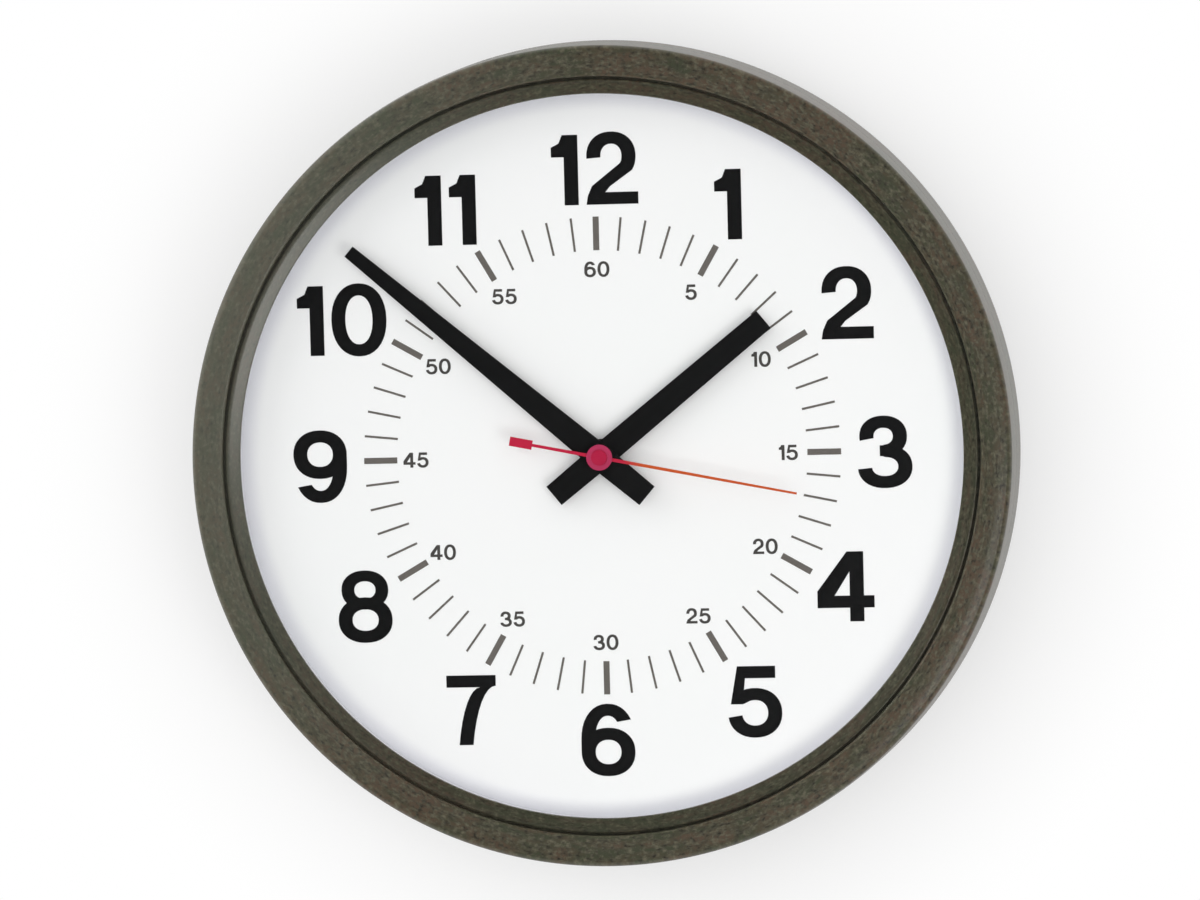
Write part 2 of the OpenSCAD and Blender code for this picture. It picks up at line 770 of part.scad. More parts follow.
module hanger_rivets() {
    head_t = 0.8;
    head_r = 2.8;
    closed_r = 2.4;
    color(steel) on_wall() for (p = rivet_places) at(p, 0) union() {
        at(centre, cover_h - head_t) cylinder(r = head_r, h = head_t);
        at(centre, cover_h) cylinder(r = rivet_r, h = sheet + hanger_t);
        at(centre, cover_front + hanger_t) cylinder(r = closed_r, h = head_t);
    }
}

module wall_pads() {
    color([0.1, 0.1, 0.1]) on_wall() for (a = pad_dirs) at(polar(pad_ring_r, a))
        cylinder(r = pad_r, h = cover_h);
}

module cord_grommet() {
    rim = 1;
    color([0.07, 0.07, 0.07]) on_wall() at(inlet_at, cover_h - rim) difference() {
        union() {
            cylinder(r = grommet_r - press, h = sheet + 2 * rim);
            cylinder(r = grommet_r + grommet_flange, h = rim);
            at(centre, rim + sheet) cylinder(r = grommet_r + grommet_flange, h = rim);
        }
        at(centre, -cut) cylinder(r = inlet_r, h = sheet + 2 * rim + 2 * cut);
    }
}

module terminal_block() {
    lead_y = rotor_at[1] - block_at[1];
    side = block_size[0] / 2;
    hole_h = lead_h - cover_front;
    color([0.12, 0.12, 0.13]) on_wall() at(block_at, cover_front) difference() {
        translate([-side, -block_size[1] / 2, 0]) cube(block_size);
        for (y = terminal_offsets) {
            at([0, y], block_size[2] - terminal_depth)
                cylinder(r = terminal_r + press, h = terminal_depth + cut);
            at([-side - cut, y], hole_h) rotate([0, 90, 0])
                cylinder(r = lead_r + press, h = lead_grip + cut);
        }
        for (y = lead_offsets) at([side - lead_grip, lead_y + y], hole_h) rotate([0, 90, 0])
            cylinder(r = lead_r + press, h = lead_grip + cut);
    }
}

module terminal_screws() {
    slot_w = 0.5;
    slot_d = 0.6;
    sunk = 0.6;
    tall = terminal_depth - sunk;
    half = terminal_r + cut;
    color(brass) on_wall() for (y = terminal_offsets)
        at(block_at + [0, y], cover_front + block_size[2] - terminal_depth) difference() {
            cylinder(r = terminal_r, h = tall);
            translate([-half, -slot_w / 2, tall - slot_d]) cube([2 * half, slot_w, cut]);
        }
}

module coil_leads() {
    short = 0.5;
    start = block_at[0] + block_size[0] / 2 - lead_grip + short;
    end = rotor_at[0] - bobbin_out - cup_play;
    color([0.85, 0.8, 0.7]) on_wall() for (y = lead_offsets) at([start, rotor_at[1] + y], lead_h)
        rotate([0, 90, 0]) cylinder(r = lead_r, h = end - start);
}

// Movement frame

module plate_outline() {
    inner_x = plate_x - plate_corner;
    low = plate_bottom + plate_corner;
    high = plate_top - plate_corner;
    translate([-plate_x, low]) square([2 * plate_x, high - low]);
    translate([-inner_x, plate_bottom]) square([2 * inner_x, plate_top - plate_bottom]);
    for (x = [-inner_x, inner_x], y = [low, high]) translate([x, y]) circle(plate_corner);
}

module front_plate() {
    color(brass) on_wall() at(centre, front_plate_h) linear_extrude(plate_t) difference() {
        plate_outline();
        circle(bush_r + press);
        for (p = [output_at, first_at, rotor_at, middle_at]) translate(p) circle(pivot_r + run);
        translate(set_at) circle(set_pivot_r + run);
        translate(motion_at) circle(stud_r + press);
        for (p = pillar_places) translate(p) circle(screw_r + press);
    }
}

module rear_plate() {
    color(brass) on_wall() at(centre, rear_plate_h) linear_extrude(plate_t) difference() {
        plate_outline();
        for (p = [centre, output_at, first_at, middle_at]) translate(p) circle(pivot_r + run);
        translate(rotor_at) circle(rotor_hole_r);
        translate(set_at) circle(set_r + run);
        for (p = pillar_places) translate(p) circle(screw_r + press);
        for (a = ear_dirs) translate(rotor_at + polar(ear_reach, a)) circle(screw_r + press);
    }
}

module pillars() {
    color(steel) on_wall() for (p = pillar_places) at(p, rear_plate_h + plate_t)
        disc(pillar_r, plate_gap, screw_r + press);
}

module pillar_screws() {
    head_t = 1.1;
    reach = plate_gap + 2 * plate_t + nut_t + screw_over;
    color(steel) on_wall() for (p = pillar_places) at(p, front_plate_h + plate_t) difference() {
        union() {
            cylinder(r = screw_head_r, h = head_t);
            at(centre, -reach) cylinder(r = screw_r, h = reach);
        }
        at(centre, head_t) screw_slot(1);
    }
}

module pillar_nuts() {
    color(steel) on_wall() for (p = pillar_places) at(p, rear_plate_h - nut_t) linear_extrude(nut_t)
        difference() {
            circle(nut_r, $fn = 6);
            circle(screw_r + press);
        }
}

module centre_bushing() {
    color(brass) on_wall() difference() {
        union() {
            at(centre, front_plate_h) cylinder(r = bush_r, h = bush_top - front_plate_h);
            at(centre, front_plate_h + plate_t) cylinder(r = bush_r + bush_flange_w, h = bush_flange_t);
        }
        at(centre, front_plate_h - cut) cylinder(r = bush_in, h = bush_top - front_plate_h + 2 * cut);
    }
}

module dial_washer() {
    color([0.2, 0.17, 0.15]) on_wall() at(centre, dial_h)
        disc(bush_r + dial_washer_w, dial_washer_t, bush_r + press);
}

module dial_nut() {
    turned = 50;
    color([0.25, 0.23, 0.21]) on_wall() at(centre, dial_h + dial_washer_t) rotate(turned)
        linear_extrude(dial_nut_t) difference() {
            circle(bush_r + dial_nut_w, $fn = 6);
            circle(bush_r + press);
        }
}

// Motor

module motor_cup() {
    depth = rear_plate_h - cup_wall - cup_h;
    color([0.55, 0.56, 0.58]) on_wall() at(rotor_at, cup_h) difference() {
        union() {
            disc(motor_r, cup_wall, pivot_r + run);
            disc(motor_r, depth, motor_r - cup_wall);
            for (k = [0:pole_count - 1]) rotate(360 * k / pole_count)
                translate([pole_r, -pole_w / 2, 0]) cube([pole_t, pole_w, depth - pole_short]);
        }
        for (y = lead_offsets) translate([-motor_r - cut, y, lead_h - cup_h]) rotate([0, 90, 0])
            cylinder(r = lead_r + lead_play, h = cup_wall + 2 * cut);
    }
}

module pole_plate() {
    depth = rear_plate_h - cup_wall - cup_h;
    root = 0.2;
    color([0.55, 0.56, 0.58]) on_wall() at(rotor_at, rear_plate_h - cup_wall) union() {
        linear_extrude(cup_wall) difference() {
            union() {
                circle(motor_r);
                for (a = ear_dirs) translate(polar(ear_reach, a)) circle(ear_r);
                for (a = ear_dirs) rotate(a) translate([motor_r - ear_root, -ear_r])
                    square([ear_reach - motor_r + ear_root, 2 * ear_r]);
            }
            circle(rotor_hole_r);
            for (a = ear_dirs) translate(polar(ear_reach, a)) circle(screw_r + press);
        }
        for (k = [0:pole_count - 1]) rotate(360 * (k + 0.5) / pole_count)
            translate([pole_r, -pole_w / 2, cup_wall - depth])
                cube([pole_t, pole_w, depth - cup_wall + root]);
    }
}

module coil_bobbin() {
    tall = bobbin_top - bobbin_h;
    color([0.75, 0.7, 0.55]) on_wall() at(rotor_at, bobbin_h) union() {
        disc(bobbin_in + bobbin_wall, tall, bobbin_in);
        disc(bobbin_out, bobbin_wall, bobbin_in);
        at(centre, tall - bobbin_wall) disc(bobbin_out, bobbin_wall, bobbin_in);
    }
}

module coil_winding() {
    base = bobbin_h + bobbin_wall + press;
    tall = bobbin_top - bobbin_wall - press - base;
    color([0.6, 0.3, 0.12]) on_wall() at(rotor_at, base)
        disc(bobbin_out - winding_inset, tall, bobbin_in + bobbin_wall + press);
}

module motor_screws() {
    head_t = 1.6;
    color(steel) on_wall() for (a = ear_dirs)
        at(rotor_at + polar(ear_reach, a), rear_plate_h - cup_wall) difference() {
            union() {
                at(centre, -head_t) cylinder(r = screw_head_r, h = head_t);
                cylinder(r = screw_r, h = cup_wall + plate_t);
            }
            at(centre, -head_t) screw_slot(-1);
        }
}

module rotor_magnet() {
    inset = 0.6;
    color([0.2, 0.2, 0.22]) on_wall() at(rotor_at, bobbin_h + inset)
        disc(rotor_r, bobbin_top - bobbin_h - 2 * inset, arbor_r + press);
}

module rotor_arbor() {
    base = bobbin_h + seat;
    color(steel) on_wall() at(rotor_at) union() {
        at(centre, cup_h) cylinder(r = pivot_r, h = front_plate_h + plate_t - cup_h);
        at(centre, base) cylinder(r = arbor_r, h = front_plate_h - end_play - base);
        at(centre, first_h - pinion_over) pinion(rotor_n, reduction_m, rotor_phase, pinion_t);
    }
}

// Train, from the rotor to the hands

module first_wheel() {
    color(brass) on_wall() at(first_at, first_h) wheel(first_n, reduction_m, 0, arbor_r + press);
}

module first_arbor() {
    color(steel) on_wall() at(first_at)
        train_arbor(first_h, output_h, reduction_pinion_n, reduction_m, first_pinion_phase);
}

module output_wheel() {
    color(brass) on_wall() at(output_at, output_h) wheel(output_n, reduction_m, 0, arbor_r + press);
}

module output_arbor() {
    color(steel) on_wall() at(output_at)
        train_arbor(output_h, second_h, drive_pinion_n, drive_m, output_pinion_phase);
}

module second_wheel() {
    color(brass) on_wall() at(centre, second_h) wheel(second_n, drive_m, 0, second_r + press);
}

module second_arbor() {
    rear = rear_plate_h + plate_t + end_play;
    color(steel) on_wall() union() {
        at(centre, rear_plate_h) cylinder(r = pivot_r, h = 2 * plate_t);
        at(centre, rear) cylinder(r = second_r, h = second_hand_h + 2 * second_t - rear);
        at(centre, second_h - shoulder_t) cylinder(r = second_r + shoulder_w, h = shoulder_t);
        at(centre, middle_h - pinion_over) pinion(second_pinion_n, middle_m, 0, pinion_t);
    }
}

module middle_wheel() {
    color(brass) on_wall() at(middle_at, middle_h)
        wheel(middle_n, middle_m, middle_phase, arbor_r + press);
}

module middle_arbor() {
    color(steel) on_wall() at(middle_at)
        train_arbor(middle_h, minute_h, middle_pinion_n, minute_m, middle_pinion_phase);
}

module minute_wheel() {
    color(brass) on_wall() at(centre, minute_h) wheel(minute_n, minute_m, 0, cannon_r + press);
}

// Three-armed spring washer that presses the minute wheel against the cannon's shoulder
module clutch_spring() {
    free = motion_h - pinion_over - minute_h - wheel_t;
    ring = cannon_r + 1.15;
    arm_l = 3.6;
    arm_w = 1.8;
    bite = 0.3;
    color([0.8, 0.65, 0.35]) on_wall() at(centre, minute_h + wheel_t) union() {
        at(centre, free / 2) disc(ring, free / 2, cannon_r + press);
        for (k = [0:2]) rotate(120 * k) translate([ring - bite, -arm_w / 2, 0])
            cube([arm_l, arm_w, free * 0.75]);
    }
}

module cannon_pinion() {
    rear = minute_h - pinion_over;
    top = minute_hand_h + hand_t + cannon_over;
    color(steel) on_wall() difference() {
        union() {
            at(centre, rear) cylinder(r = cannon_r, h = top - rear);
            at(centre, motion_h - pinion_over) pinion(cannon_n, motion_m, 0, pinion_t);
        }
        at(centre, rear - cut) cylinder(r = cannon_in, h = top - rear + 2 * cut);
    }
}

module motion_stud() {
    start = motion_h - clip_gap - clip_t - seat;
    color(steel) on_wall() at(motion_at, start) cylinder(r = stud_r, h = front_plate_h + plate_t - start);
}

module motion_wheel() {
    color(brass) on_wall() at(motion_at, motion_h) wheel(motion_n, motion_m, motion_phase, stud_r + run);
}

module motion_pinion() {
    tall = hour_h + pinion_over - motion_h;
    color(steel) on_wall() at(motion_at, motion_h + wheel_t)
        pinion(motion_pinion_n, hour_m, motion_pinion_phase, tall, stud_r + run);
}

module motion_clip() {
    color(steel) on_wall() at(motion_at, motion_h - clip_gap - clip_t)
        disc(stud_r + clip_w, clip_t, stud_r + press);
}

module hour_wheel() {
    color(brass) on_wall() at(centre, hour_h) wheel(hour_n, hour_m, 0, pipe_r + press);
}

module hour_pipe() {
    over = 0.2;
    color(brass) on_wall() at(centre, hour_h - over)
        disc(pipe_r, hour_hand_h + hand_t - hour_h + 2 * over, pipe_in);
}

module set_arbor() {
    base = cover_h + set_inset;
    top = front_plate_h - end_play;
    color(steel) on_wall() at(set_at) union() {
        at(centre, base) cylinder(r = set_r, h = top - base);
        at(centre, base) cylinder(r = set_pivot_r, h = front_plate_h + plate_t - base);
        at(centre, motion_h - pinion_over) pinion(set_n, motion_m, set_phase, pinion_t);
    }
}

module set_knob() {
    ribs = 24;
    rib = 1;
    low = 1.2;
    tall = 8;
    neck_r = 3.4;
    neck_t = 2;
    bore_h = cover_h + set_inset - low;
    color([0.12, 0.12, 0.12]) on_wall() at(set_at, low) difference() {
        union() {
            cylinder(r = knob_r - rib / 2, h = tall);
            for (k = [0:ribs - 1]) rotate(360 * k / ribs) translate([knob_r - rib, -rib / 2, 0])
                cube([rib, rib, tall]);
            cylinder(r = neck_r, h = tall + neck_t);
        }
        at(centre, bore_h) cylinder(r = set_r + press, h = tall + neck_t - bore_h + cut);
    }
}

// Hands

module hand(len, tip_w, root_w, angle, h, hole) {
    color(ink) on_wall() at(centre, h) rotate(-angle) linear_extrude(hand_t) difference() {
        polygon([[-tail_w / 2, -tail_len], [tail_w / 2, -tail_len], [root_w / 2, 0],
            [tip_w / 2, len], [-tip_w / 2, len], [-root_w / 2, 0]]);
        circle(hole);
    }
}

module hour_hand() {
    hand(hour_len, hour_tip_w, hour_root_w, hour_angle, hour_hand_h, pipe_r + press);
}

module minute_hand() {
    hand(minute_len, minute_tip_w, minute_root_w, minute_angle, minute_hand_h, cannon_r + press);
}

module minute_nut() {
    wall = 1.75;
    t = 1;
    color(ink) on_wall() at(centre, minute_hand_h + hand_t) disc(cannon_r + wall, t, cannon_r + press);
}

module second_hand() {
    boss_r = 3;
    root = 0.7;
    tail = 0.6;
    tail_end = counter_len / 2 - counter_end;
    color(red) on_wall() at(centre, second_hand_h) rotate(-second_angle) linear_extrude(second_t)
        difference() {
            union() {
                circle(boss_r);
                polygon([[second_w / 2, second_len], [-second_w / 2, second_len], [-root, 0],
                    [-tail, tail_end], [tail, tail_end], [root, 0]]);
                translate([-counter_w / 2, -counter_end]) square([counter_w, counter_len]);
            }
            circle(second_r + press);
        }
}

module second_hub() {
    base = second_hand_h + second_t;
    disc_r = 5.3;
    disc_t = 0.7;
    cap_r = 3.1;
    color(red) on_wall() difference() {
        union() {
            at(centre, base) cylinder(r = disc_r, h = disc_t);
            at(centre, base) cylinder(r = cap_r, h = hub_top - base);
        }
        at(centre, base - cut) cylinder(r = second_r + press, h = second_t + cut + press);
    }
}

case_shell();
bezel();
inner_ring();
lens();
lens_gasket();
dial_ring();
dial_plate();
hour_numerals();
minute_marks();
minute_numerals();
bezel_screws();
back_cover();
cover_screws();
hanger_plate();
hanger_rivets();
wall_pads();
cord_grommet();
terminal_block();
terminal_screws();
coil_leads();
front_plate();
rear_plate();
pillars();
pillar_screws();
pillar_nuts();
centre_bushing();
dial_washer();
dial_nut();
motor_cup();
pole_plate();
coil_bobbin();
coil_winding();
motor_screws();
rotor_magnet();
rotor_arbor();
first_wheel();
first_arbor();
output_wheel();
output_arbor();
second_wheel();
second_arbor();
second_hand();
second_hub();
middle_wheel();
middle_arbor();
minute_wheel();
clutch_spring();
cannon_pinion();
minute_hand();
minute_nut();
motion_stud();
motion_wheel();
motion_pinion();
motion_clip();
hour_wheel();
hour_pipe();
hour_hand();
set_arbor();
set_knob();
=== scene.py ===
import json
import math

import bmesh
import bpy
import numpy as np
from mathutils import Matrix, Vector


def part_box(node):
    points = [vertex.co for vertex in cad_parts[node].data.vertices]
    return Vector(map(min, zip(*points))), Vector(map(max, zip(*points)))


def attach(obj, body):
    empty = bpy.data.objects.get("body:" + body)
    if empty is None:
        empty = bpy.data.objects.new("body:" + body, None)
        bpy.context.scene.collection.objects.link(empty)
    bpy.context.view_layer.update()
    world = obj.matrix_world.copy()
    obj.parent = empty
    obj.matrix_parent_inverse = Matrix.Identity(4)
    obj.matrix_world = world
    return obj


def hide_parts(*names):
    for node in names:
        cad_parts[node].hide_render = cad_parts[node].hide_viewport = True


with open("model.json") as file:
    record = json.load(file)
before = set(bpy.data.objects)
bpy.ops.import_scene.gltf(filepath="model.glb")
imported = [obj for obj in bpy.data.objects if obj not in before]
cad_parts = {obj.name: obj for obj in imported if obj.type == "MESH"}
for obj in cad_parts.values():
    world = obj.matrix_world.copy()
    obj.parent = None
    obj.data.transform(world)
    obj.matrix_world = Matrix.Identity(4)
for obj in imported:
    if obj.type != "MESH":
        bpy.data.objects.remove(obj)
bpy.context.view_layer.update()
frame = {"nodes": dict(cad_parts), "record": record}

nodes = frame["nodes"]
print("frame loaded:", len(nodes), "nodes")

# The three hands turn on one arbor along Y, and every ring here is spun round it
joints = {joint["name"]: joint for joint in frame["record"]["behaviour"]["joints"]}
arborX, _, arborZ = joints["minute_turn"]["pos_m"]
handAxis = (arborX, 0.0, arborZ)

# Camera: where the photograph was taken from, round the middle of the dial, in metres and degrees
view = {
    "target": (arborX, -0.0338, arborZ),
    "azimuth": 4.65,
    "elevation": 2.75,
    "distance": 1.5,
    "roll": 1.4,
    "photo": (1200, 900),
    "centrePixel": (601.5, 456.15),
    "pixelsPerMetre": 2425,
    "sensor": 36,
    "clip": (0.01, 100),
}


def placeCamera():
    swing, rise = math.radians(view["azimuth"]), math.radians(view["elevation"])
    back = Vector((math.sin(swing) * math.cos(rise), -math.cos(swing) * math.cos(rise), math.sin(rise)))
    width, height = view["photo"]
    across, down = view["centrePixel"]
    data = bpy.data.cameras.new("camera")
    camera = bpy.data.objects.new("camera", data)
    bpy.context.scene.collection.objects.link(camera)
    data.sensor_width = view["sensor"]
    data.lens = view["sensor"] * view["pixelsPerMetre"] * view["distance"] / width
    data.shift_x = (width / 2 - across) / width
    data.shift_y = (down - height / 2) / width
    data.clip_start, data.clip_end = view["clip"]
    camera.location = Vector(view["target"]) + back * view["distance"]
    camera.rotation_mode = "QUATERNION"
    roll = Matrix.Rotation(math.radians(-view["roll"]), 3, "Z").to_quaternion()
    camera.rotation_quaternion = (-back).to_track_quat("-Z", "Y") @ roll
    bpy.context.scene.camera = camera


placeCamera()
bpy.context.scene.view_settings.view_transform = "Standard"
print("camera placed")


# Colours are written as red, green and blue from 0 to 255, as a screen shows them
def linear(colour):
    parts = [part / 255 for part in colour]
    return tuple(c / 12.92 if c <= 0.04045 else ((c + 0.055) / 1.055) ** 2.4 for c in parts) + (1.0,)


def addNode(tree, kind, **settings):
    made = tree.nodes.new(kind)
    for key, value in settings.items():
        setattr(made, key, value)
    return made


# Feeds a socket from another node's output, or sets it to a plain value
def join(tree, source, target):
    if isinstance(source, bpy.types.NodeSocket):
        tree.links.new(source, target)
    else:
        target.default_value = source


def joinAll(tree, node, sources):
    for label, source in sources.items():
        join(tree, source, node.inputs[label])


def mathNode(tree, operation, first, second=0.0, third=0.0, clamp=False):
    made = addNode(tree, "ShaderNodeMath", operation=operation, use_clamp=clamp)
    for socket, source in zip(made.inputs, (first, second, third)):
        join(tree, source, socket)
    return made.outputs[0]


def vectorNode(tree, operation, first, second=(0.0, 0.0, 0.0)):
    made = addNode(tree, "ShaderNodeVectorMath", operation=operation)
    join(tree, first, made.inputs[0])
    join(tree, second, made.inputs[1])
    return made.outputs["Value" if operation in ("LENGTH", "DOT_PRODUCT") else "Vector"]


def separate(tree, vector):
    made = addNode(tree, "ShaderNodeSeparateXYZ")
    join(tree, vector, made.inputs[0])
    return made.outputs


# Inputs 0, 6 and 7 of a Mix node are its factor and its two colours, and output 2 is the mixed colour
def mixColours(tree, amount, first, second):
    made = addNode(tree, "ShaderNodeMix", data_type="RGBA")
    join(tree, amount, made.inputs[0])
    for socket, colour in ((made.inputs[6], first), (made.inputs[7], second)):
        join(tree, linear(colour) if isinstance(colour, tuple) else colour, socket)
    return made.outputs[2]


# Lays a colour over a tone, by a mask times a share
def tinge(tree, tone, colour, mask, share):
    return mixColours(tree, mathNode(tree, "MULTIPLY", mask, share), tone, colour)


def mixShaders(tree, share, first, second):
    made = addNode(tree, "ShaderNodeMixShader")
    for socket, source in zip(made.inputs, (share, first, second)):
        join(tree, source, socket)
    return made.outputs[0]


def noiseFrom(tree, vector, scale, detail=2.0, roughness=0.5):
    made = addNode(tree, "ShaderNodeTexNoise")
    joinAll(tree, made, {"Vector": vector, "Scale": scale, "Detail": detail, "Roughness": roughness})
    return made.outputs["Fac"]


# Stretches the range from low to high over the range from bottom to top, and holds the ends
def stretch(tree, value, low=0.0, high=1.0, bottom=0.0, top=1.0, kind="LINEAR"):
    made = addNode(tree, "ShaderNodeMapRange", clamp=True, interpolation_type=kind)
    joinAll(tree, made, {"Value": value, "From Min": low, "From Max": high, "To Min": bottom, "To Max": top})
    return made.outputs["Result"]


# A group of plain nodes, with its inputs and their values by name, that puts out masks
def newGroup(name, outputs, **inputs):
    group = bpy.data.node_groups.new(name, "ShaderNodeTree")
    for label, value in inputs.items():
        kind = "NodeSocketVector" if isinstance(value, tuple) else "NodeSocketFloat"
        group.interface.new_socket(name=label, in_out="INPUT", socket_type=kind).default_value = value
    for label in outputs:
        group.interface.new_socket(name=label, in_out="OUTPUT", socket_type="NodeSocketFloat")
    return group, group.nodes.new("NodeGroupInput").outputs, group.nodes.new("NodeGroupOutput").inputs


def objectPoint(tree):
    return addNode(tree, "ShaderNodeTexCoord").outputs["Object"]


# Where a point lies from a place on an axis along Y: the whole way, and the part of it across the axis
def awayFrom(tree, axis):
    away = vectorNode(tree, "SUBTRACT", objectPoint(tree), axis)
    return away, vectorNode(tree, "MULTIPLY", away, (1.0, 0.0, 1.0))


# Marks that run round an axis, from a noise without a seam. Its three coordinates are the two parts of
# the direction from the axis, times a count, and the distance from the axis less Y, times a pitch
def buildTurnedMarks():
    tree, given, out = newGroup(
        "turnedMarks", ["Marks"], Axis=handAxis, Around=60.0, Across=2500.0, Detail=2.0)
    away, flat = awayFrom(tree, given["Axis"])
    direction = separate(tree, vectorNode(tree, "NORMALIZE", flat))
    across = mathNode(tree, "SUBTRACT", vectorNode(tree, "LENGTH", flat), separate(tree, away)["Y"])
    spot = addNode(tree, "ShaderNodeCombineXYZ")
    joinAll(tree, spot, {
        "X": mathNode(tree, "MULTIPLY", direction["X"], given["Around"]),
        "Y": mathNode(tree, "MULTIPLY", direction["Z"], given["Around"]),
        "Z": mathNode(tree, "MULTIPLY", across, given["Across"]),
    })
    join(tree, noiseFrom(tree, spot.outputs[0], 1.0, given["Detail"]), out["Marks"])
    return tree


# Grain of a given size, the same in every direction, with a slow drift beside it
def buildGrain():
    tree, given, out = newGroup("grain", ["Grain", "Drift"], Fine=1500.0, Broad=30.0)
    point = objectPoint(tree)
    join(tree, noiseFrom(tree, point, given["Fine"], detail=3.0, roughness=0.6), out["Grain"])
    join(tree, noiseFrom(tree, point, given["Broad"]), out["Drift"])
    return tree


# How far a point lies from an axis, from 0 at the inner distance to 1 at the outer one
def buildReach():
    tree, given, out = newGroup("reach", ["Reach"], Axis=handAxis, Inner=0.1, Outer=0.15)
    distance = vectorNode(tree, "LENGTH", awayFrom(tree, given["Axis"])[1])
    join(tree, stretch(tree, distance, given["Inner"], given["Outer"], kind="SMOOTHSTEP"), out["Reach"])
    return tree


# Which side of the hand arbor a point lies on: 1 towards the given direction, 0 away from it
def buildSide():
    tree, given, out = newGroup("side", ["Side"], Towards=(-1.0, 0.0, 0.0))
    direction = vectorNode(tree, "NORMALIZE", awayFrom(tree, handAxis)[0])
    lean = vectorNode(tree, "DOT_PRODUCT", direction, given["Towards"])
    join(tree, mathNode(tree, "MULTIPLY_ADD", lean, 0.5, 0.5), out["Side"])
    return tree


turnedMarks = buildTurnedMarks()
grain = buildGrain()
reach = buildReach()
side = buildSide()
print("node groups built")


def place(tree, group, **values):
    made = addNode(tree, "ShaderNodeGroup", node_tree=group)
    joinAll(tree, made, values)
    return made.outputs


def placeGrain(tree, sizes):
    return place(tree, grain, Fine=sizes[0], Broad=sizes[1])


def newMaterial(name):
    made = bpy.data.materials.new(name)
    made.use_nodes = True
    return made, made.node_tree, made.node_tree.nodes["Principled BSDF"]


# In every finish "grain" holds the scales of the fine grain and of the slow drift, "roughness" its lowest
# and highest value, and "bump" its strength and its depth in metres. The keys below go to plain sockets
plainSockets = {
    "metallic": "Metallic",
    "shine": "Specular IOR Level",
    "coat": "Coat Weight",
    "coatRoughness": "Coat Roughness",
}


# The end of a finish: its colour, its roughness by one mask, its bump from another, and its plain values
def setSurface(tree, shader, finish, tone, glossMask, heightMask):
    lowest, highest = finish["roughness"]
    strength, depth = finish["bump"]
    bump = addNode(tree, "ShaderNodeBump")
    joinAll(tree, bump, {"Strength": strength, "Distance": depth, "Height": heightMask})
    joinAll(tree, shader, {
        "Base Color": tone,
        "Roughness": stretch(tree, glossMask, bottom=lowest, top=highest),
        "Normal": bump.outputs["Normal"],
    })
    for key, label in plainSockets.items():
        if key in finish:
            shader.inputs[label].default_value = finish[key]


# Bronze enamel: short strokes round the ring, speckle, a slow brown drift, and painted light: a paler,
# greyer upper left
bronze = {
    "dark": (43, 39, 27),
    "light": (110, 106, 84),
    "olive": (68, 72, 49),
    "brown": (91, 73, 54),
    "paintedLightTone": (110, 113, 100),
    "paintedLightTowards": (-0.97, 0.0, 0.24),
    "paintedLightEnds": (0.62, 1.0),
    "paintedLightShare": 0.5,
    "strokes": {"Around": 62.0, "Across": 820.0, "Detail": 3.0},
    "strokeEnds": (0.32, 0.68),
    "streaks": {"Around": 11.0, "Across": 260.0, "Detail": 2.0},
    "streakShare": 0.6,
    "driftEnds": (0.42, 0.58),
    "grain": (640, 14),
    "speckleEnds": (0.38, 0.62),
    "roughness": (0.48, 0.6),
    "bump": (0.3, 0.0001),
    "metallic": 0.2,
    "shine": 0.5,
    "coat": 0.34,
    "coatRoughness": 0.2,
}

# The inner ring has the same enamel with painted shade: its colours are a little darker, and it is glossier
shadedInnerBronze = dict(bronze, dark=(44, 42, 28), light=(96, 94, 72), olive=(64, 67, 47), brown=(80, 67, 51),
                   paintedLightTone=(96, 98, 86), roughness=(0.3, 0.46), coat=0.8, coatRoughness=0.24)


def makeBronze(name, enamel):
    made, tree, shader = newMaterial(name)
    strokes = place(tree, turnedMarks, **enamel["strokes"])["Marks"]
    streaks = place(tree, turnedMarks, **enamel["streaks"])["Marks"]
    speckle = placeGrain(tree, enamel["grain"])
    drift = mathNode(tree, "ADD", mathNode(tree, "MULTIPLY", streaks, enamel["streakShare"]),
                     mathNode(tree, "MULTIPLY", speckle["Drift"], 1 - enamel["streakShare"]))
    ground = mixColours(tree, stretch(tree, drift, *enamel["driftEnds"]), enamel["olive"], enamel["brown"])
    marks = mixColours(tree, stretch(tree, strokes, *enamel["strokeEnds"]), enamel["dark"], enamel["light"])
    body = mixColours(tree, stretch(tree, speckle["Grain"], *enamel["speckleEnds"]), ground, marks)
    # Painted light: the enamel turns paler and greyer towards the upper left
    paintedLightSide = stretch(tree, place(tree, side, Towards=enamel["paintedLightTowards"])["Side"], *enamel["paintedLightEnds"])
    body = tinge(tree, body, enamel["paintedLightTone"], paintedLightSide, enamel["paintedLightShare"])
    setSurface(tree, shader, enamel, body, strokes, strokes)
    return made


# White dial enamel: a trace of drift, and painted shade: a cooler, darker tone in a zone at the edge, under
# the bezel's lip, in metres from the arbor
dialPaint = {
    "middle": (254, 254, 254),
    "edge": (236, 236, 241),
    "rimShadeZone": {"Inner": 0.141, "Outer": 0.149},
    "drift": (244, 244, 242),
    "driftShare": 0.06,
    "grain": (2200, 9),
    "roughness": (0.42, 0.55),
    "bump": (0.05, 0.00003),
    "shine": 0.25,
}


def makeDialPaint():
    made, tree, shader = newMaterial("dialEnamel")
    # Painted shade: the tone turns cooler and darker over the zone at the dial's edge
    edge = place(tree, reach, **dialPaint["rimShadeZone"])["Reach"]
    marks = placeGrain(tree, dialPaint["grain"])
    tone = mixColours(tree, edge, dialPaint["middle"], dialPaint["edge"])
    tone = tinge(tree, tone, dialPaint["drift"], marks["Drift"], dialPaint["driftShare"])
    setSurface(tree, shader, dialPaint, tone, marks["Grain"], marks["Grain"])
    return made


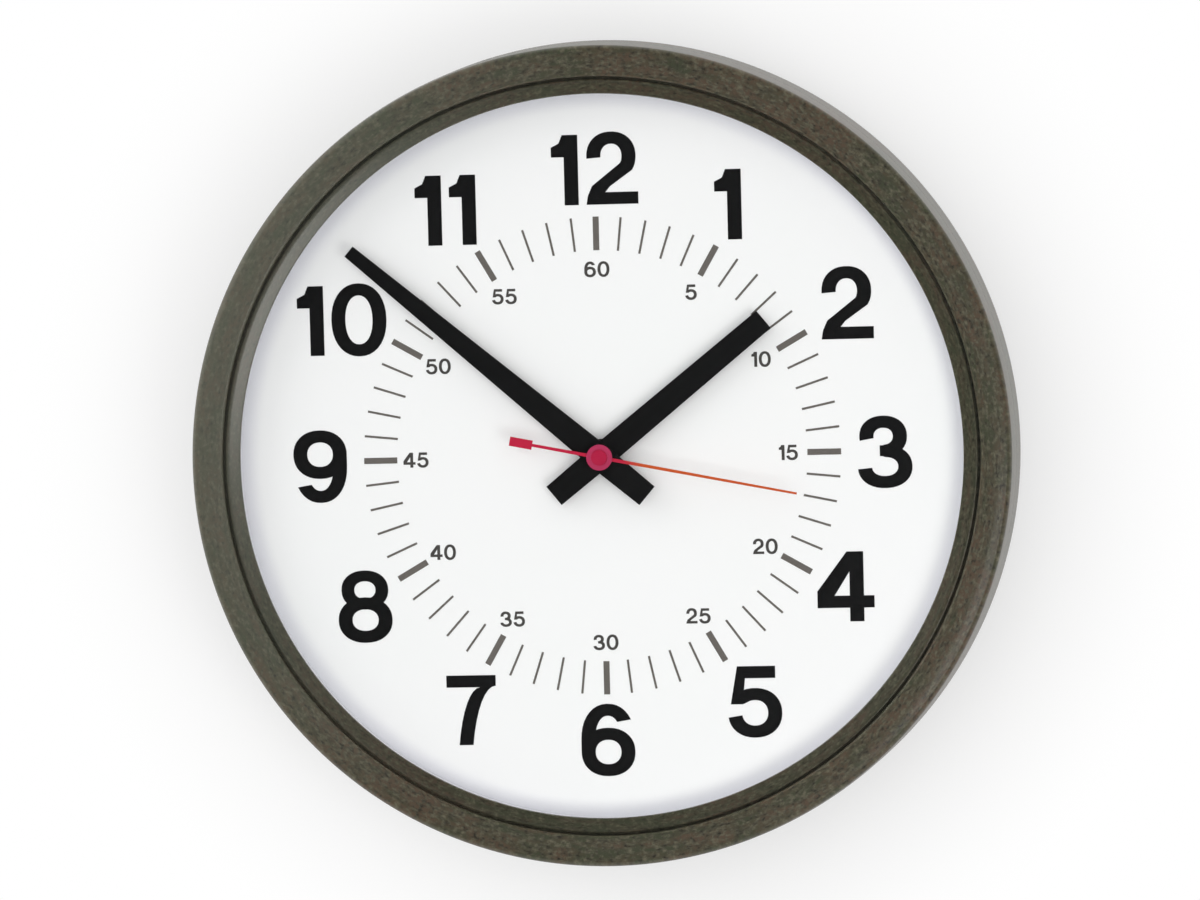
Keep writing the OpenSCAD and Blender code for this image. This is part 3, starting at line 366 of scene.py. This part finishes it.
# Red of the second hand: crimson at the arbor and on the counterweight, more orange along the thin arm,
# which points to the right at rest; the zone is in metres from the arbor
redPaint = {
    "crimson": (198, 14, 60),
    "arm": (204, 84, 22),
    "armZone": {"Inner": 0.008, "Outer": 0.02},
    "deep": (170, 14, 48),
    "deepShare": 0.15,
    "grain": (1800, 120),
    "roughness": (0.35, 0.5),
    "bump": (0.05, 0.00003),
    "shine": 0.2,
}


def makeHandRed():
    made, tree, shader = newMaterial("handRed")
    away = place(tree, reach, **redPaint["armZone"])["Reach"]
    marks = placeGrain(tree, redPaint["grain"])
    rightHalf = mathNode(tree, "GREATER_THAN", separate(tree, objectPoint(tree))["X"], handAxis[0])
    arm = mathNode(tree, "MULTIPLY", away, rightHalf)
    tone = mixColours(tree, arm, redPaint["crimson"], redPaint["arm"])
    tone = tinge(tree, tone, redPaint["deep"], marks["Drift"], redPaint["deepShare"])
    setSurface(tree, shader, redPaint, tone, marks["Grain"], marks["Grain"])
    return made


# Hub of the second hand: a deeper raised cap on a paler disc
hubPaint = dict(redPaint, cap=(184, 0, 62), disc=(186, 46, 92), capZone={"Inner": 0.0031, "Outer": 0.0035},
                grain=(1800, 300), roughness=(0.3, 0.42))


def makeHubRed():
    made, tree, shader = newMaterial("hubRed")
    rim = place(tree, reach, **hubPaint["capZone"])["Reach"]
    marks = placeGrain(tree, hubPaint["grain"])
    tone = mixColours(tree, rim, hubPaint["cap"], hubPaint["disc"])
    tone = tinge(tree, tone, hubPaint["deep"], marks["Drift"], hubPaint["deepShare"])
    setSurface(tree, shader, hubPaint, tone, marks["Grain"], marks["Grain"])
    return made


# Window glass: clear to lamps and to the light from behind it, so that the dial stays as bright as it is
glassLook = {"cool": (252, 254, 253), "clear": (255, 255, 255), "grain": (60, 12), "ior": 1.3}


def makeGlass():
    made, tree, shader = newMaterial("clearGlass")
    drift = placeGrain(tree, glassLook["grain"])["Drift"]
    tint = mixColours(tree, drift, glassLook["cool"], glassLook["clear"])
    joinAll(tree, shader, {"Base Color": tint, "Roughness": 0.0, "IOR": glassLook["ior"],
                           "Transmission Weight": 1.0})
    path = addNode(tree, "ShaderNodeLightPath").outputs
    passes = mathNode(tree, "MAXIMUM", path["Is Shadow Ray"], path["Is Diffuse Ray"])
    clear = addNode(tree, "ShaderNodeBsdfTransparent").outputs[0]
    surface = mixShaders(tree, passes, shader.outputs[0], clear)
    join(tree, surface, tree.nodes["Material Output"].inputs["Surface"])
    return made


bronzeEnamel = makeBronze("bronzeEnamel", bronze)
shadedInnerEnamel = makeBronze("shadedInnerEnamel", shadedInnerBronze)
dialEnamel = makeDialPaint()
clearGlass = makeGlass()

# Paint, ink, rubber, plastic and wire: grain and slow drift of a second colour over the first. Each finish
# names the carried nodes that take it
mottle = {"grainEnds": (0.35, 0.7), "grainShare": 0.5, "driftShare": 0.25}
ink = {"grain": (2600, 200), "roughness": (0.55, 0.7), "bump": (0.12, 0.00002), "shine": 0.15}
coatedFinishes = {
    "printedInk": dict(ink, base=(10, 10, 11), second=(20, 20, 22), nodes=["hour_numerals"]),
    "markInk": dict(ink, base=(98, 94, 90), second=(126, 120, 114), nodes=["minute_marks"]),
    "numberInk": dict(ink, base=(66, 64, 62), second=(92, 89, 86), nodes=["minute_numerals"]),
    "handBlack": {
        "base": (7, 7, 8), "second": (15, 15, 17), "grain": (1400, 90), "roughness": (0.38, 0.5),
        "bump": (0.08, 0.00003), "shine": 0.2, "nodes": ["hour_hand", "minute_hand", "minute_nut"]},
    "blackRubber": {
        "base": (22, 22, 22), "second": (36, 36, 35), "grain": (1500, 60), "roughness": (0.7, 0.85),
        "bump": (0.25, 0.00008), "nodes": ["wall_pads", "cord_grommet", "lens_gasket"]},
    "coverEnamel": {
        "base": (58, 59, 60), "second": (76, 77, 77), "grain": (700, 18), "roughness": (0.4, 0.56),
        "bump": (0.22, 0.00008), "nodes": ["back_cover"]},
    "bakelite": {
        "base": (26, 22, 21), "second": (44, 35, 31), "grain": (500, 70), "roughness": (0.22, 0.36),
        "bump": (0.06, 0.00004), "nodes": ["terminal_block", "set_knob"]},
    "nylon": {
        "base": (208, 194, 160), "second": (192, 176, 140), "grain": (900, 50), "roughness": (0.4, 0.5),
        "bump": (0.08, 0.00004), "nodes": ["coil_bobbin"]},
    "leadCover": {
        "base": (214, 202, 176), "second": (178, 164, 138), "grain": (2400, 120), "roughness": (0.75, 0.9),
        "bump": (0.5, 0.0001), "nodes": ["coil_leads"]},
    "ferrite": {
        "base": (42, 42, 45), "second": (62, 62, 64), "grain": (1600, 120), "roughness": (0.5, 0.7),
        "bump": (0.3, 0.00008), "nodes": ["rotor_magnet"]},
    "copperWire": {
        "base": (150, 80, 38), "second": (176, 104, 54), "grain": (3000, 100), "roughness": (0.3, 0.42),
        "bump": (0.5, 0.0002), "nodes": ["coil_winding"]},
}


def makeCoated(name, finish):
    made, tree, shader = newMaterial(name)
    marks = placeGrain(tree, finish["grain"])
    flecks = stretch(tree, marks["Grain"], *mottle["grainEnds"])
    tone = tinge(tree, finish["base"], finish["second"], flecks, mottle["grainShare"])
    tone = tinge(tree, tone, finish["second"], marks["Drift"], mottle["driftShare"])
    setSurface(tree, shader, finish, tone, marks["Grain"], marks["Grain"])
    return made


# Plated or bare sheet and bar: blotches of the plating and fine scratches
plating = {"grain": (1200, 160), "blotchEnds": (0.35, 0.65), "scratchShare": 0.25, "bump": (0.08, 0.00003),
           "metallic": 1.0}
platedFinishes = {
    "zincSteel": dict(
        plating, base=(176, 178, 180), second=(148, 150, 150), roughness=(0.28, 0.42),
        nodes=["bezel_screws", "cover_screws", "hanger_plate", "hanger_rivets", "pillars", "pillar_screws",
               "pillar_nuts", "motor_screws", "motion_clip"]),
    "motorIron": dict(
        plating, base=(148, 150, 152), second=(118, 120, 122), roughness=(0.34, 0.5), grain=(900, 60),
        nodes=["motor_cup", "pole_plate"]),
    "plateBrass": dict(
        plating, base=(206, 172, 100), second=(184, 148, 80), roughness=(0.26, 0.4), grain=(900, 70),
        nodes=["front_plate", "rear_plate", "terminal_screws"]),
    "springBronze": dict(
        plating, base=(214, 172, 104), second=(190, 146, 82), roughness=(0.22, 0.34),
        nodes=["clutch_spring"]),
}


def makePlated(name, finish):
    made, tree, shader = newMaterial(name)
    marks = placeGrain(tree, finish["grain"])
    blotches = stretch(tree, marks["Drift"], *finish["blotchEnds"])
    tone = mixColours(tree, blotches, finish["base"], finish["second"])
    tone = tinge(tree, tone, finish["second"], marks["Grain"], finish["scratchShare"])
    setSurface(tree, shader, finish, tone, marks["Drift"], marks["Grain"])
    return made


# Metal turned or brushed round an axis: fine marks of a second tone, with a slow drift back to the first
turning = {"marks": {"Around": 25.0, "Across": 6000.0, "Detail": 4.0}, "markEnds": (0.3, 0.7),
           "grain": (700, 60), "driftShare": 0.3, "bump": (0.12, 0.00004), "metallic": 1.0}
darkBronze = dict(turning, base=(70, 60, 54), second=(96, 84, 74), roughness=(0.35, 0.5))
turnedMetals = {
    "Brass": dict(
        turning, base=(206, 172, 100), second=(226, 196, 128), roughness=(0.22, 0.36),
        nodes=["first_wheel", "output_wheel", "second_wheel", "middle_wheel", "minute_wheel", "motion_wheel",
               "hour_wheel", "hour_pipe", "centre_bushing"]),
    "Steel": dict(
        turning, base=(172, 173, 176), second=(200, 201, 203), roughness=(0.18, 0.32),
        nodes=["rotor_arbor", "first_arbor", "output_arbor", "second_arbor", "middle_arbor", "cannon_pinion",
               "motion_stud", "motion_pinion", "set_arbor"]),
}


def makeTurned(name, metal, axis):
    made, tree, shader = newMaterial(name)
    marks = place(tree, turnedMarks, Axis=axis, **metal["marks"])["Marks"]
    drift = placeGrain(tree, metal["grain"])["Drift"]
    tone = mixColours(tree, stretch(tree, marks, *metal["markEnds"]), metal["base"], metal["second"])
    tone = tinge(tree, tone, metal["base"], drift, metal["driftShare"])
    setSurface(tree, shader, metal, tone, marks, marks)
    return made


def axisOf(node):
    low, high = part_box(node)
    return ((low.x + high.x) / 2, 0.0, (low.z + high.z) / 2)


def dress(names, material):
    for name in names:
        for held in nodes[name].material_slots:
            held.material = material


for name, finish in coatedFinishes.items():
    dress(finish["nodes"], makeCoated(name, finish))
for name, finish in platedFinishes.items():
    dress(finish["nodes"], makePlated(name, finish))
for ending, metal in turnedMetals.items():
    for name in metal["nodes"]:
        dress([name], makeTurned(name + ending, metal, axisOf(name)))
dress(["dial_washer", "dial_nut"], makeTurned("darkBronze", darkBronze, handAxis))
dress(["second_hand"], makeHandRed())
dress(["second_hub"], makeHubRed())
print("carried nodes dressed, materials made:", len(bpy.data.materials))


# A closed profile of (radius, height) points in mm, carried round the hand arbor through the angle a:
# x = arbor x + radius cos a, y = -height, z = arbor z + radius sin a. The sign of the volume that the faces
# enclose turns them outwards, and the points that meet on the axis become one
def spin(name, profile, steps, material, replaced, crease=30, mergeWithin=1e-7):
    line = np.asarray(profile, float) / 1000
    count = len(line)
    angle = np.linspace(0, 2 * np.pi, steps, endpoint=False)
    x = np.outer(line[:, 0], np.cos(angle)) + handAxis[0]
    y = np.repeat(-line[:, 1][:, None], steps, 1)
    z = np.outer(line[:, 0], np.sin(angle)) + handAxis[2]
    points = np.stack([x, y, z], -1).reshape(-1, 3)
    i, j = np.meshgrid(np.arange(count), np.arange(steps), indexing="ij")
    nextI, nextJ = (i + 1) % count, (j + 1) % steps
    corners = [i * steps + j, i * steps + nextJ, nextI * steps + nextJ, nextI * steps + j]
    quads = np.stack(corners, -1).reshape(-1, 4)
    a, b, c, d = (points[quads[:, k]] for k in range(4))
    volume = (np.einsum("ij,ij->i", a, np.cross(b, c)) + np.einsum("ij,ij->i", a, np.cross(c, d))).sum()
    if volume < 0:
        quads = quads[:, ::-1]
    mesh = bpy.data.meshes.new(name)
    mesh.from_pydata(points.tolist(), [], quads.tolist())
    if line[:, 0].min() < mergeWithin:
        merged = bmesh.new()
        merged.from_mesh(mesh)
        bmesh.ops.remove_doubles(merged, verts=merged.verts, dist=mergeWithin)
        merged.to_mesh(mesh)
        merged.free()
    mesh.shade_smooth()
    mesh.set_sharp_from_angle(angle=math.radians(crease))
    mesh.materials.append(material)
    made = bpy.data.objects.new(name, mesh)
    bpy.context.scene.collection.objects.link(made)
    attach(made, "case")
    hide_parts(*replaced)


# Points of a circle's arc, from one angle to another in degrees: centre + radius (cos, sin)
def arcPoints(centre, radius, start, stop, count):
    angle = np.radians(np.linspace(start, stop, count))
    return [(centre[0] + radius * c, centre[1] + radius * s) for c, s in zip(np.cos(angle), np.sin(angle))]


# Case shell in mm, the same section as the solid; heights are measured from the wall
case = {
    "wallRadius": 173.0,
    "frontRadius": 168.0,
    "depth": 51.0,
    "sheet": 1.0,
    "rim": 0.6,
    "sideHeights": (8, 16),
    "seam": 26.0,
    "neckGap": 0.3,
    "dialBack": 32.6,
    "ledge": 145.75,
    "flange": 150.0,
    "flangeBack": 3.2,
    "steps": 480,
}


# The side's radius falls evenly from the wall to the front
def sideRadius(height):
    return case["wallRadius"] + (case["frontRadius"] - case["wallRadius"]) * height / case["depth"]


# Section: up the flared side, in at the seam, up the neck and in along the dial's ledge, then back inside,
# one sheet's thickness away, to the rear flange and the rim
def makeCase():
    sheet, seam, ledge = case["sheet"], case["seam"], case["ledge"]
    top, back = case["dialBack"], case["flangeBack"]
    neck = sideRadius(top) - sheet - case["neckGap"]
    outside = [(sideRadius(height), height) for height in (case["rim"], *case["sideHeights"], seam)]
    outside += [(neck, seam), (neck, top), (ledge, top)]
    inside = [(ledge, top - sheet), (neck - sheet, top - sheet), (neck - sheet, seam - sheet)]
    inside += [(sideRadius(height) - sheet, height) for height in (seam - sheet, back + sheet)]
    flange = [(case["flange"], back + sheet), (case["flange"], back)]
    rim = [(sideRadius(height) - sheet, height) for height in (back, case["rim"])]
    profile = outside + inside + flange + rim
    spin("caseShell", profile, case["steps"], bronzeEnamel, ["case_shell"])


# Bezel in mm, on the case's side and depth; arcs are in degrees, and steps are points on each arc
bezel = {
    "seamGap": 0.4,
    "sideHeights": (34, 41),
    "corner": 3.0,
    "cornerArc": (4, 84),
    "crown": 0.4,
    "lip": 155.15,
    "lipRound": 1.2,
    "lipArc": (96, 180),
    "lipHeight": 46.4,
    "outerSteps": {"corner": 14, "face": 22, "lip": 12},
    "innerSteps": {"corner": 6, "face": 10, "lip": 4},
}


# Section: up the side, round the corner, over the crowned face and round the lip into the opening, and back
# inside, one sheet's thickness away. The face is an arc that stands up by the crown at its middle, so its
# radius is (half its width squared + crown squared) / (2 crown)
def makeBezel():
    b, sheet = bezel, case["sheet"]
    corner, lipRound = b["corner"], b["lipRound"]
    faceOut, lipEdge = case["frontRadius"] - corner, b["lip"] + lipRound
    edge, bottom = case["depth"] - b["crown"], case["seam"] + b["seamGap"]
    middle, half = (faceOut + lipEdge) / 2, (faceOut - lipEdge) / 2
    bow = (half ** 2 + b["crown"] ** 2) / (2 * b["crown"])
    sweep = math.degrees(math.asin(half / bow))

    def arcs(inset, steps):
        points = arcPoints((faceOut, edge - corner), corner - inset, *b["cornerArc"], steps["corner"])
        points += arcPoints((middle, case["depth"] - bow), bow - inset, 90 - sweep, 90 + sweep, steps["face"])
        points += arcPoints((lipEdge, edge - lipRound), lipRound - inset, *b["lipArc"], steps["lip"])
        return points

    outer = [(sideRadius(height), height) for height in (bottom, *b["sideHeights"])]
    outer += arcs(0, b["outerSteps"]) + [(b["lip"], b["lipHeight"])]
    inner = [(sideRadius(bottom) - sheet, bottom)]
    inner += arcs(sheet, b["innerSteps"]) + [(b["lip"] + sheet, b["lipHeight"])]
    spin("bezelRing", outer + inner[::-1], case["steps"], bronzeEnamel, ["bezel"])


# Inner ring in mm; its face starts by "rise" above the height of the bezel's lip, and ends by "fall" above it
innerRing = {
    "flange": 158.85,
    "outer": 154.15,
    "opening": 148.35,
    "back": 45.3,
    "top": 46.3,
    "rise": 2.2,
    "fall": 0.4,
    "edge": 0.6,
    "outerArc": (0, 90),
    "innerArc": (100, 180),
    "arcSteps": 6,
    "faceShares": (0.3, 0.6),
    "crease": 40,
}


# Section: the flange, up the groove's wall, round an arc, down the face, whose height falls evenly from the
# outer edge to the opening, and round a second arc to the glass
def makeInnerRing():
    r = innerRing
    high, low = bezel["lipHeight"] + r["rise"], bezel["lipHeight"] + r["fall"]
    start, end = np.array((r["outer"] - r["edge"], high)), np.array((r["opening"] + r["edge"], low))
    profile = [(r["flange"], r["back"]), (r["flange"], r["top"]), (r["outer"], r["top"])]
    profile += arcPoints((start[0], high - r["edge"]), r["edge"], *r["outerArc"], r["arcSteps"])
    profile += [tuple(start + (end - start) * share) for share in r["faceShares"]]
    profile += arcPoints((end[0], low - r["edge"]), r["edge"], *r["innerArc"], r["arcSteps"])
    profile += [(r["opening"], r["back"])]
    spin("innerRing", profile, case["steps"], shadedInnerEnamel, ["inner_ring"], r["crease"])


# Glass in mm: its flat edge, with its front at the height "front", lies behind the inner ring
glass = {
    "radius": 153.25,
    "thickness": 2.4,
    "rise": 5.2,
    "front": 44.8,
    "rings": 40,
    "steps": 256,
    "crease": 40,
}


# Both faces follow one sphere, whose radius is (radius squared + rise squared) / (2 rise). At a distance
# from the axis a face stands above the flat edge by the root of (sphere squared - distance squared), less
# the same root at the inner ring's opening
def makeLens():
    g, opening = glass, innerRing["opening"]
    sphere = (g["radius"] ** 2 + g["rise"] ** 2) / (2 * g["rise"])
    radii = np.linspace(0, opening, g["rings"])
    dome = np.sqrt(sphere ** 2 - radii ** 2) - math.sqrt(sphere ** 2 - opening ** 2)
    back = g["front"] - g["thickness"]
    profile = [*zip(radii, g["front"] + dome), (g["radius"], g["front"])]
    profile += [(g["radius"], back), *zip(radii[::-1], back + dome[::-1])]
    spin("domedGlass", profile, g["steps"], clearGlass, ["lens"], g["crease"])


# Dial in mm, on the case's ledge, and the white spacer ring between it and the glass
dial = {
    "radius": 151.15,
    "hole": 5.1,
    "thickness": 1.2,
    "chamfer": 0.15,
    "ringInner": 149.75,
    "ringTop": 42.4,
    "steps": 360,
}


# Sections: the plate is a rectangle with its two front corners cut, and the ring is a plain rectangle
def makeDial():
    hole, radius, cut, steps = dial["hole"], dial["radius"], dial["chamfer"], dial["steps"]
    back = case["dialBack"]
    front = back + dial["thickness"]
    plate = [(hole, back), (radius, back), (radius, front - cut), (radius - cut, front), (hole + cut, front),
             (hole, front - cut)]
    spin("dialPlate", plate, steps, dialEnamel, ["dial_plate"])
    inner, top = dial["ringInner"], dial["ringTop"]
    ring = [(inner, front), (radius, front), (radius, top), (inner, top)]
    spin("dialSpacer", ring, steps, dialEnamel, ["dial_ring"])


makeCase()
makeBezel()
makeInnerRing()
makeLens()
makeDial()
print("spun pieces made")

# Wall and floor, in metres: pale, seen only from their front, and out of the way of the light on the clock's
# back. The camera sees a share of plain white in them, which grows over the zone round the hand arbor
room = {
    "wallBehind": 0.026,
    "wallHeight": 5,
    "halfWidth": 4,
    "floorBelow": 1.60,
    "floorDepth": 1.2,
    "wallColour": (250, 250, 250),
    "floorColour": (240, 240, 240),
    "driftColour": (250, 250, 250),
    "driftShare": 0.3,
    "grain": (300, 2),
    "roughness": 0.9,
    "leastWhite": 0.46,
    "whiteZone": {"Inner": 0.17, "Outer": 0.26},
}


# The kinds of ray, and 1 for those that show the background: from the camera, mirrored and through glass
def rayKinds(tree):
    path = addNode(tree, "ShaderNodeLightPath").outputs
    showing = mathNode(tree, "ADD", path["Is Camera Ray"], path["Is Glossy Ray"], clamp=True)
    return path, mathNode(tree, "ADD", showing, path["Is Transmission Ray"], clamp=True)


def makeRoomFinish(name, colour):
    made, tree, shader = newMaterial(name)
    drift = placeGrain(tree, room["grain"])["Drift"]
    tone = tinge(tree, colour, room["driftColour"], drift, room["driftShare"])
    joinAll(tree, shader, {"Base Color": tone, "Roughness": room["roughness"], "Specular IOR Level": 0.0})
    away = place(tree, reach, **room["whiteZone"])["Reach"]
    share = mathNode(tree, "MULTIPLY_ADD", away, 1 - room["leastWhite"], room["leastWhite"])
    white = addNode(tree, "ShaderNodeEmission").outputs[0]
    lifted = mixShaders(tree, share, shader.outputs[0], white)
    showing = rayKinds(tree)[1]
    behind = addNode(tree, "ShaderNodeNewGeometry").outputs["Backfacing"]
    seen = mathNode(tree, "SUBTRACT", showing, behind, clamp=True)
    clear = addNode(tree, "ShaderNodeBsdfTransparent").outputs[0]
    join(tree, mixShaders(tree, seen, clear, lifted), tree.nodes["Material Output"].inputs["Surface"])
    return made


def makeSheet(name, corners, material):
    mesh = bpy.data.meshes.new(name)
    mesh.from_pydata(corners, [], [tuple(range(len(corners)))])
    mesh.materials.append(material)
    made = bpy.data.objects.new(name, mesh)
    bpy.context.scene.collection.objects.link(made)


def makeRoom():
    right, left = room["halfWidth"], -room["halfWidth"]
    back, front = room["wallBehind"], room["wallBehind"] - room["floorDepth"]
    bottom = handAxis[2] - room["floorBelow"]
    top = bottom + room["wallHeight"]
    foot = [(left, back, bottom), (right, back, bottom)]
    head = [(right, back, top), (left, back, top)]
    near = [(left, front, bottom), (right, front, bottom)]
    makeSheet("wall", foot + head, makeRoomFinish("wallPaint", room["wallColour"]))
    makeSheet("floor", near + foot[::-1], makeRoomFinish("floorPaint", room["floorColour"]))


makeRoom()

# Light: a pale surround that leans to the upper left, with a lobe in front and one behind, each growing
# between two values of Y, and two soft boxes. Rays from the camera meet plain white, and mirrored or
# transmitted ones a room that is dim in front of the clock
light = {
    "surround": 0.53,
    "lean": 0.5,
    "leanTo": (-0.6, 0.0, 0.8),
    "lobes": [
        {"between": (-0.84, -0.96), "adds": 2.5},
        {"between": (0.3, 0.8), "adds": 1.2},
    ],
    "dimFront": 0.05,
    "dimBetween": (-0.4, 0.0),
    "boxes": {
        "keyBox": {"from": (0.76, -1.48, -0.60), "size": 0.7, "watts": 5.2},
        "fillBox": {"from": (-1.6, -1.0, 0.9), "size": 1.6, "watts": 8.5},
    },
}


def makeWorld():
    world = bpy.data.worlds.new("surround")
    bpy.context.scene.world = world
    world.use_nodes = True
    tree = world.node_tree
    ray = addNode(tree, "ShaderNodeTexCoord").outputs["Generated"]
    ahead = separate(tree, ray)["Y"]
    lean = vectorNode(tree, "DOT_PRODUCT", ray, light["leanTo"])
    level = mathNode(tree, "MULTIPLY_ADD", lean, light["lean"], 1.0)
    for lobe in light["lobes"]:
        adds = stretch(tree, ahead, *lobe["between"], top=lobe["adds"], kind="SMOOTHSTEP")
        level = mathNode(tree, "ADD", level, adds)
    lit = tree.nodes["Background"]
    joinAll(tree, lit, {"Color": level, "Strength": light["surround"]})
    path, showing = rayKinds(tree)
    mirrored = stretch(tree, ahead, *light["dimBetween"], bottom=light["dimFront"], kind="SMOOTHSTEP")
    shown = addNode(tree, "ShaderNodeBackground")
    join(tree, mathNode(tree, "MAXIMUM", mirrored, path["Is Camera Ray"]), shown.inputs["Color"])
    surface = mixShaders(tree, showing, lit.outputs[0], shown.outputs[0])
    join(tree, surface, tree.nodes["World Output"].inputs["Surface"])


def makeBoxes():
    for name, box in light["boxes"].items():
        data = bpy.data.lights.new(name, "AREA")
        data.size = box["size"]
        data.energy = box["watts"]
        lamp = bpy.data.objects.new(name, data)
        bpy.context.scene.collection.objects.link(lamp)
        lamp.location = box["from"]
        lamp.visible_camera = False
        aim = Vector(view["target"]) - lamp.location
        lamp.rotation_mode = "QUATERNION"
        lamp.rotation_quaternion = aim.to_track_quat("-Z", "Y")


makeWorld()
makeBoxes()
print("room and light made")
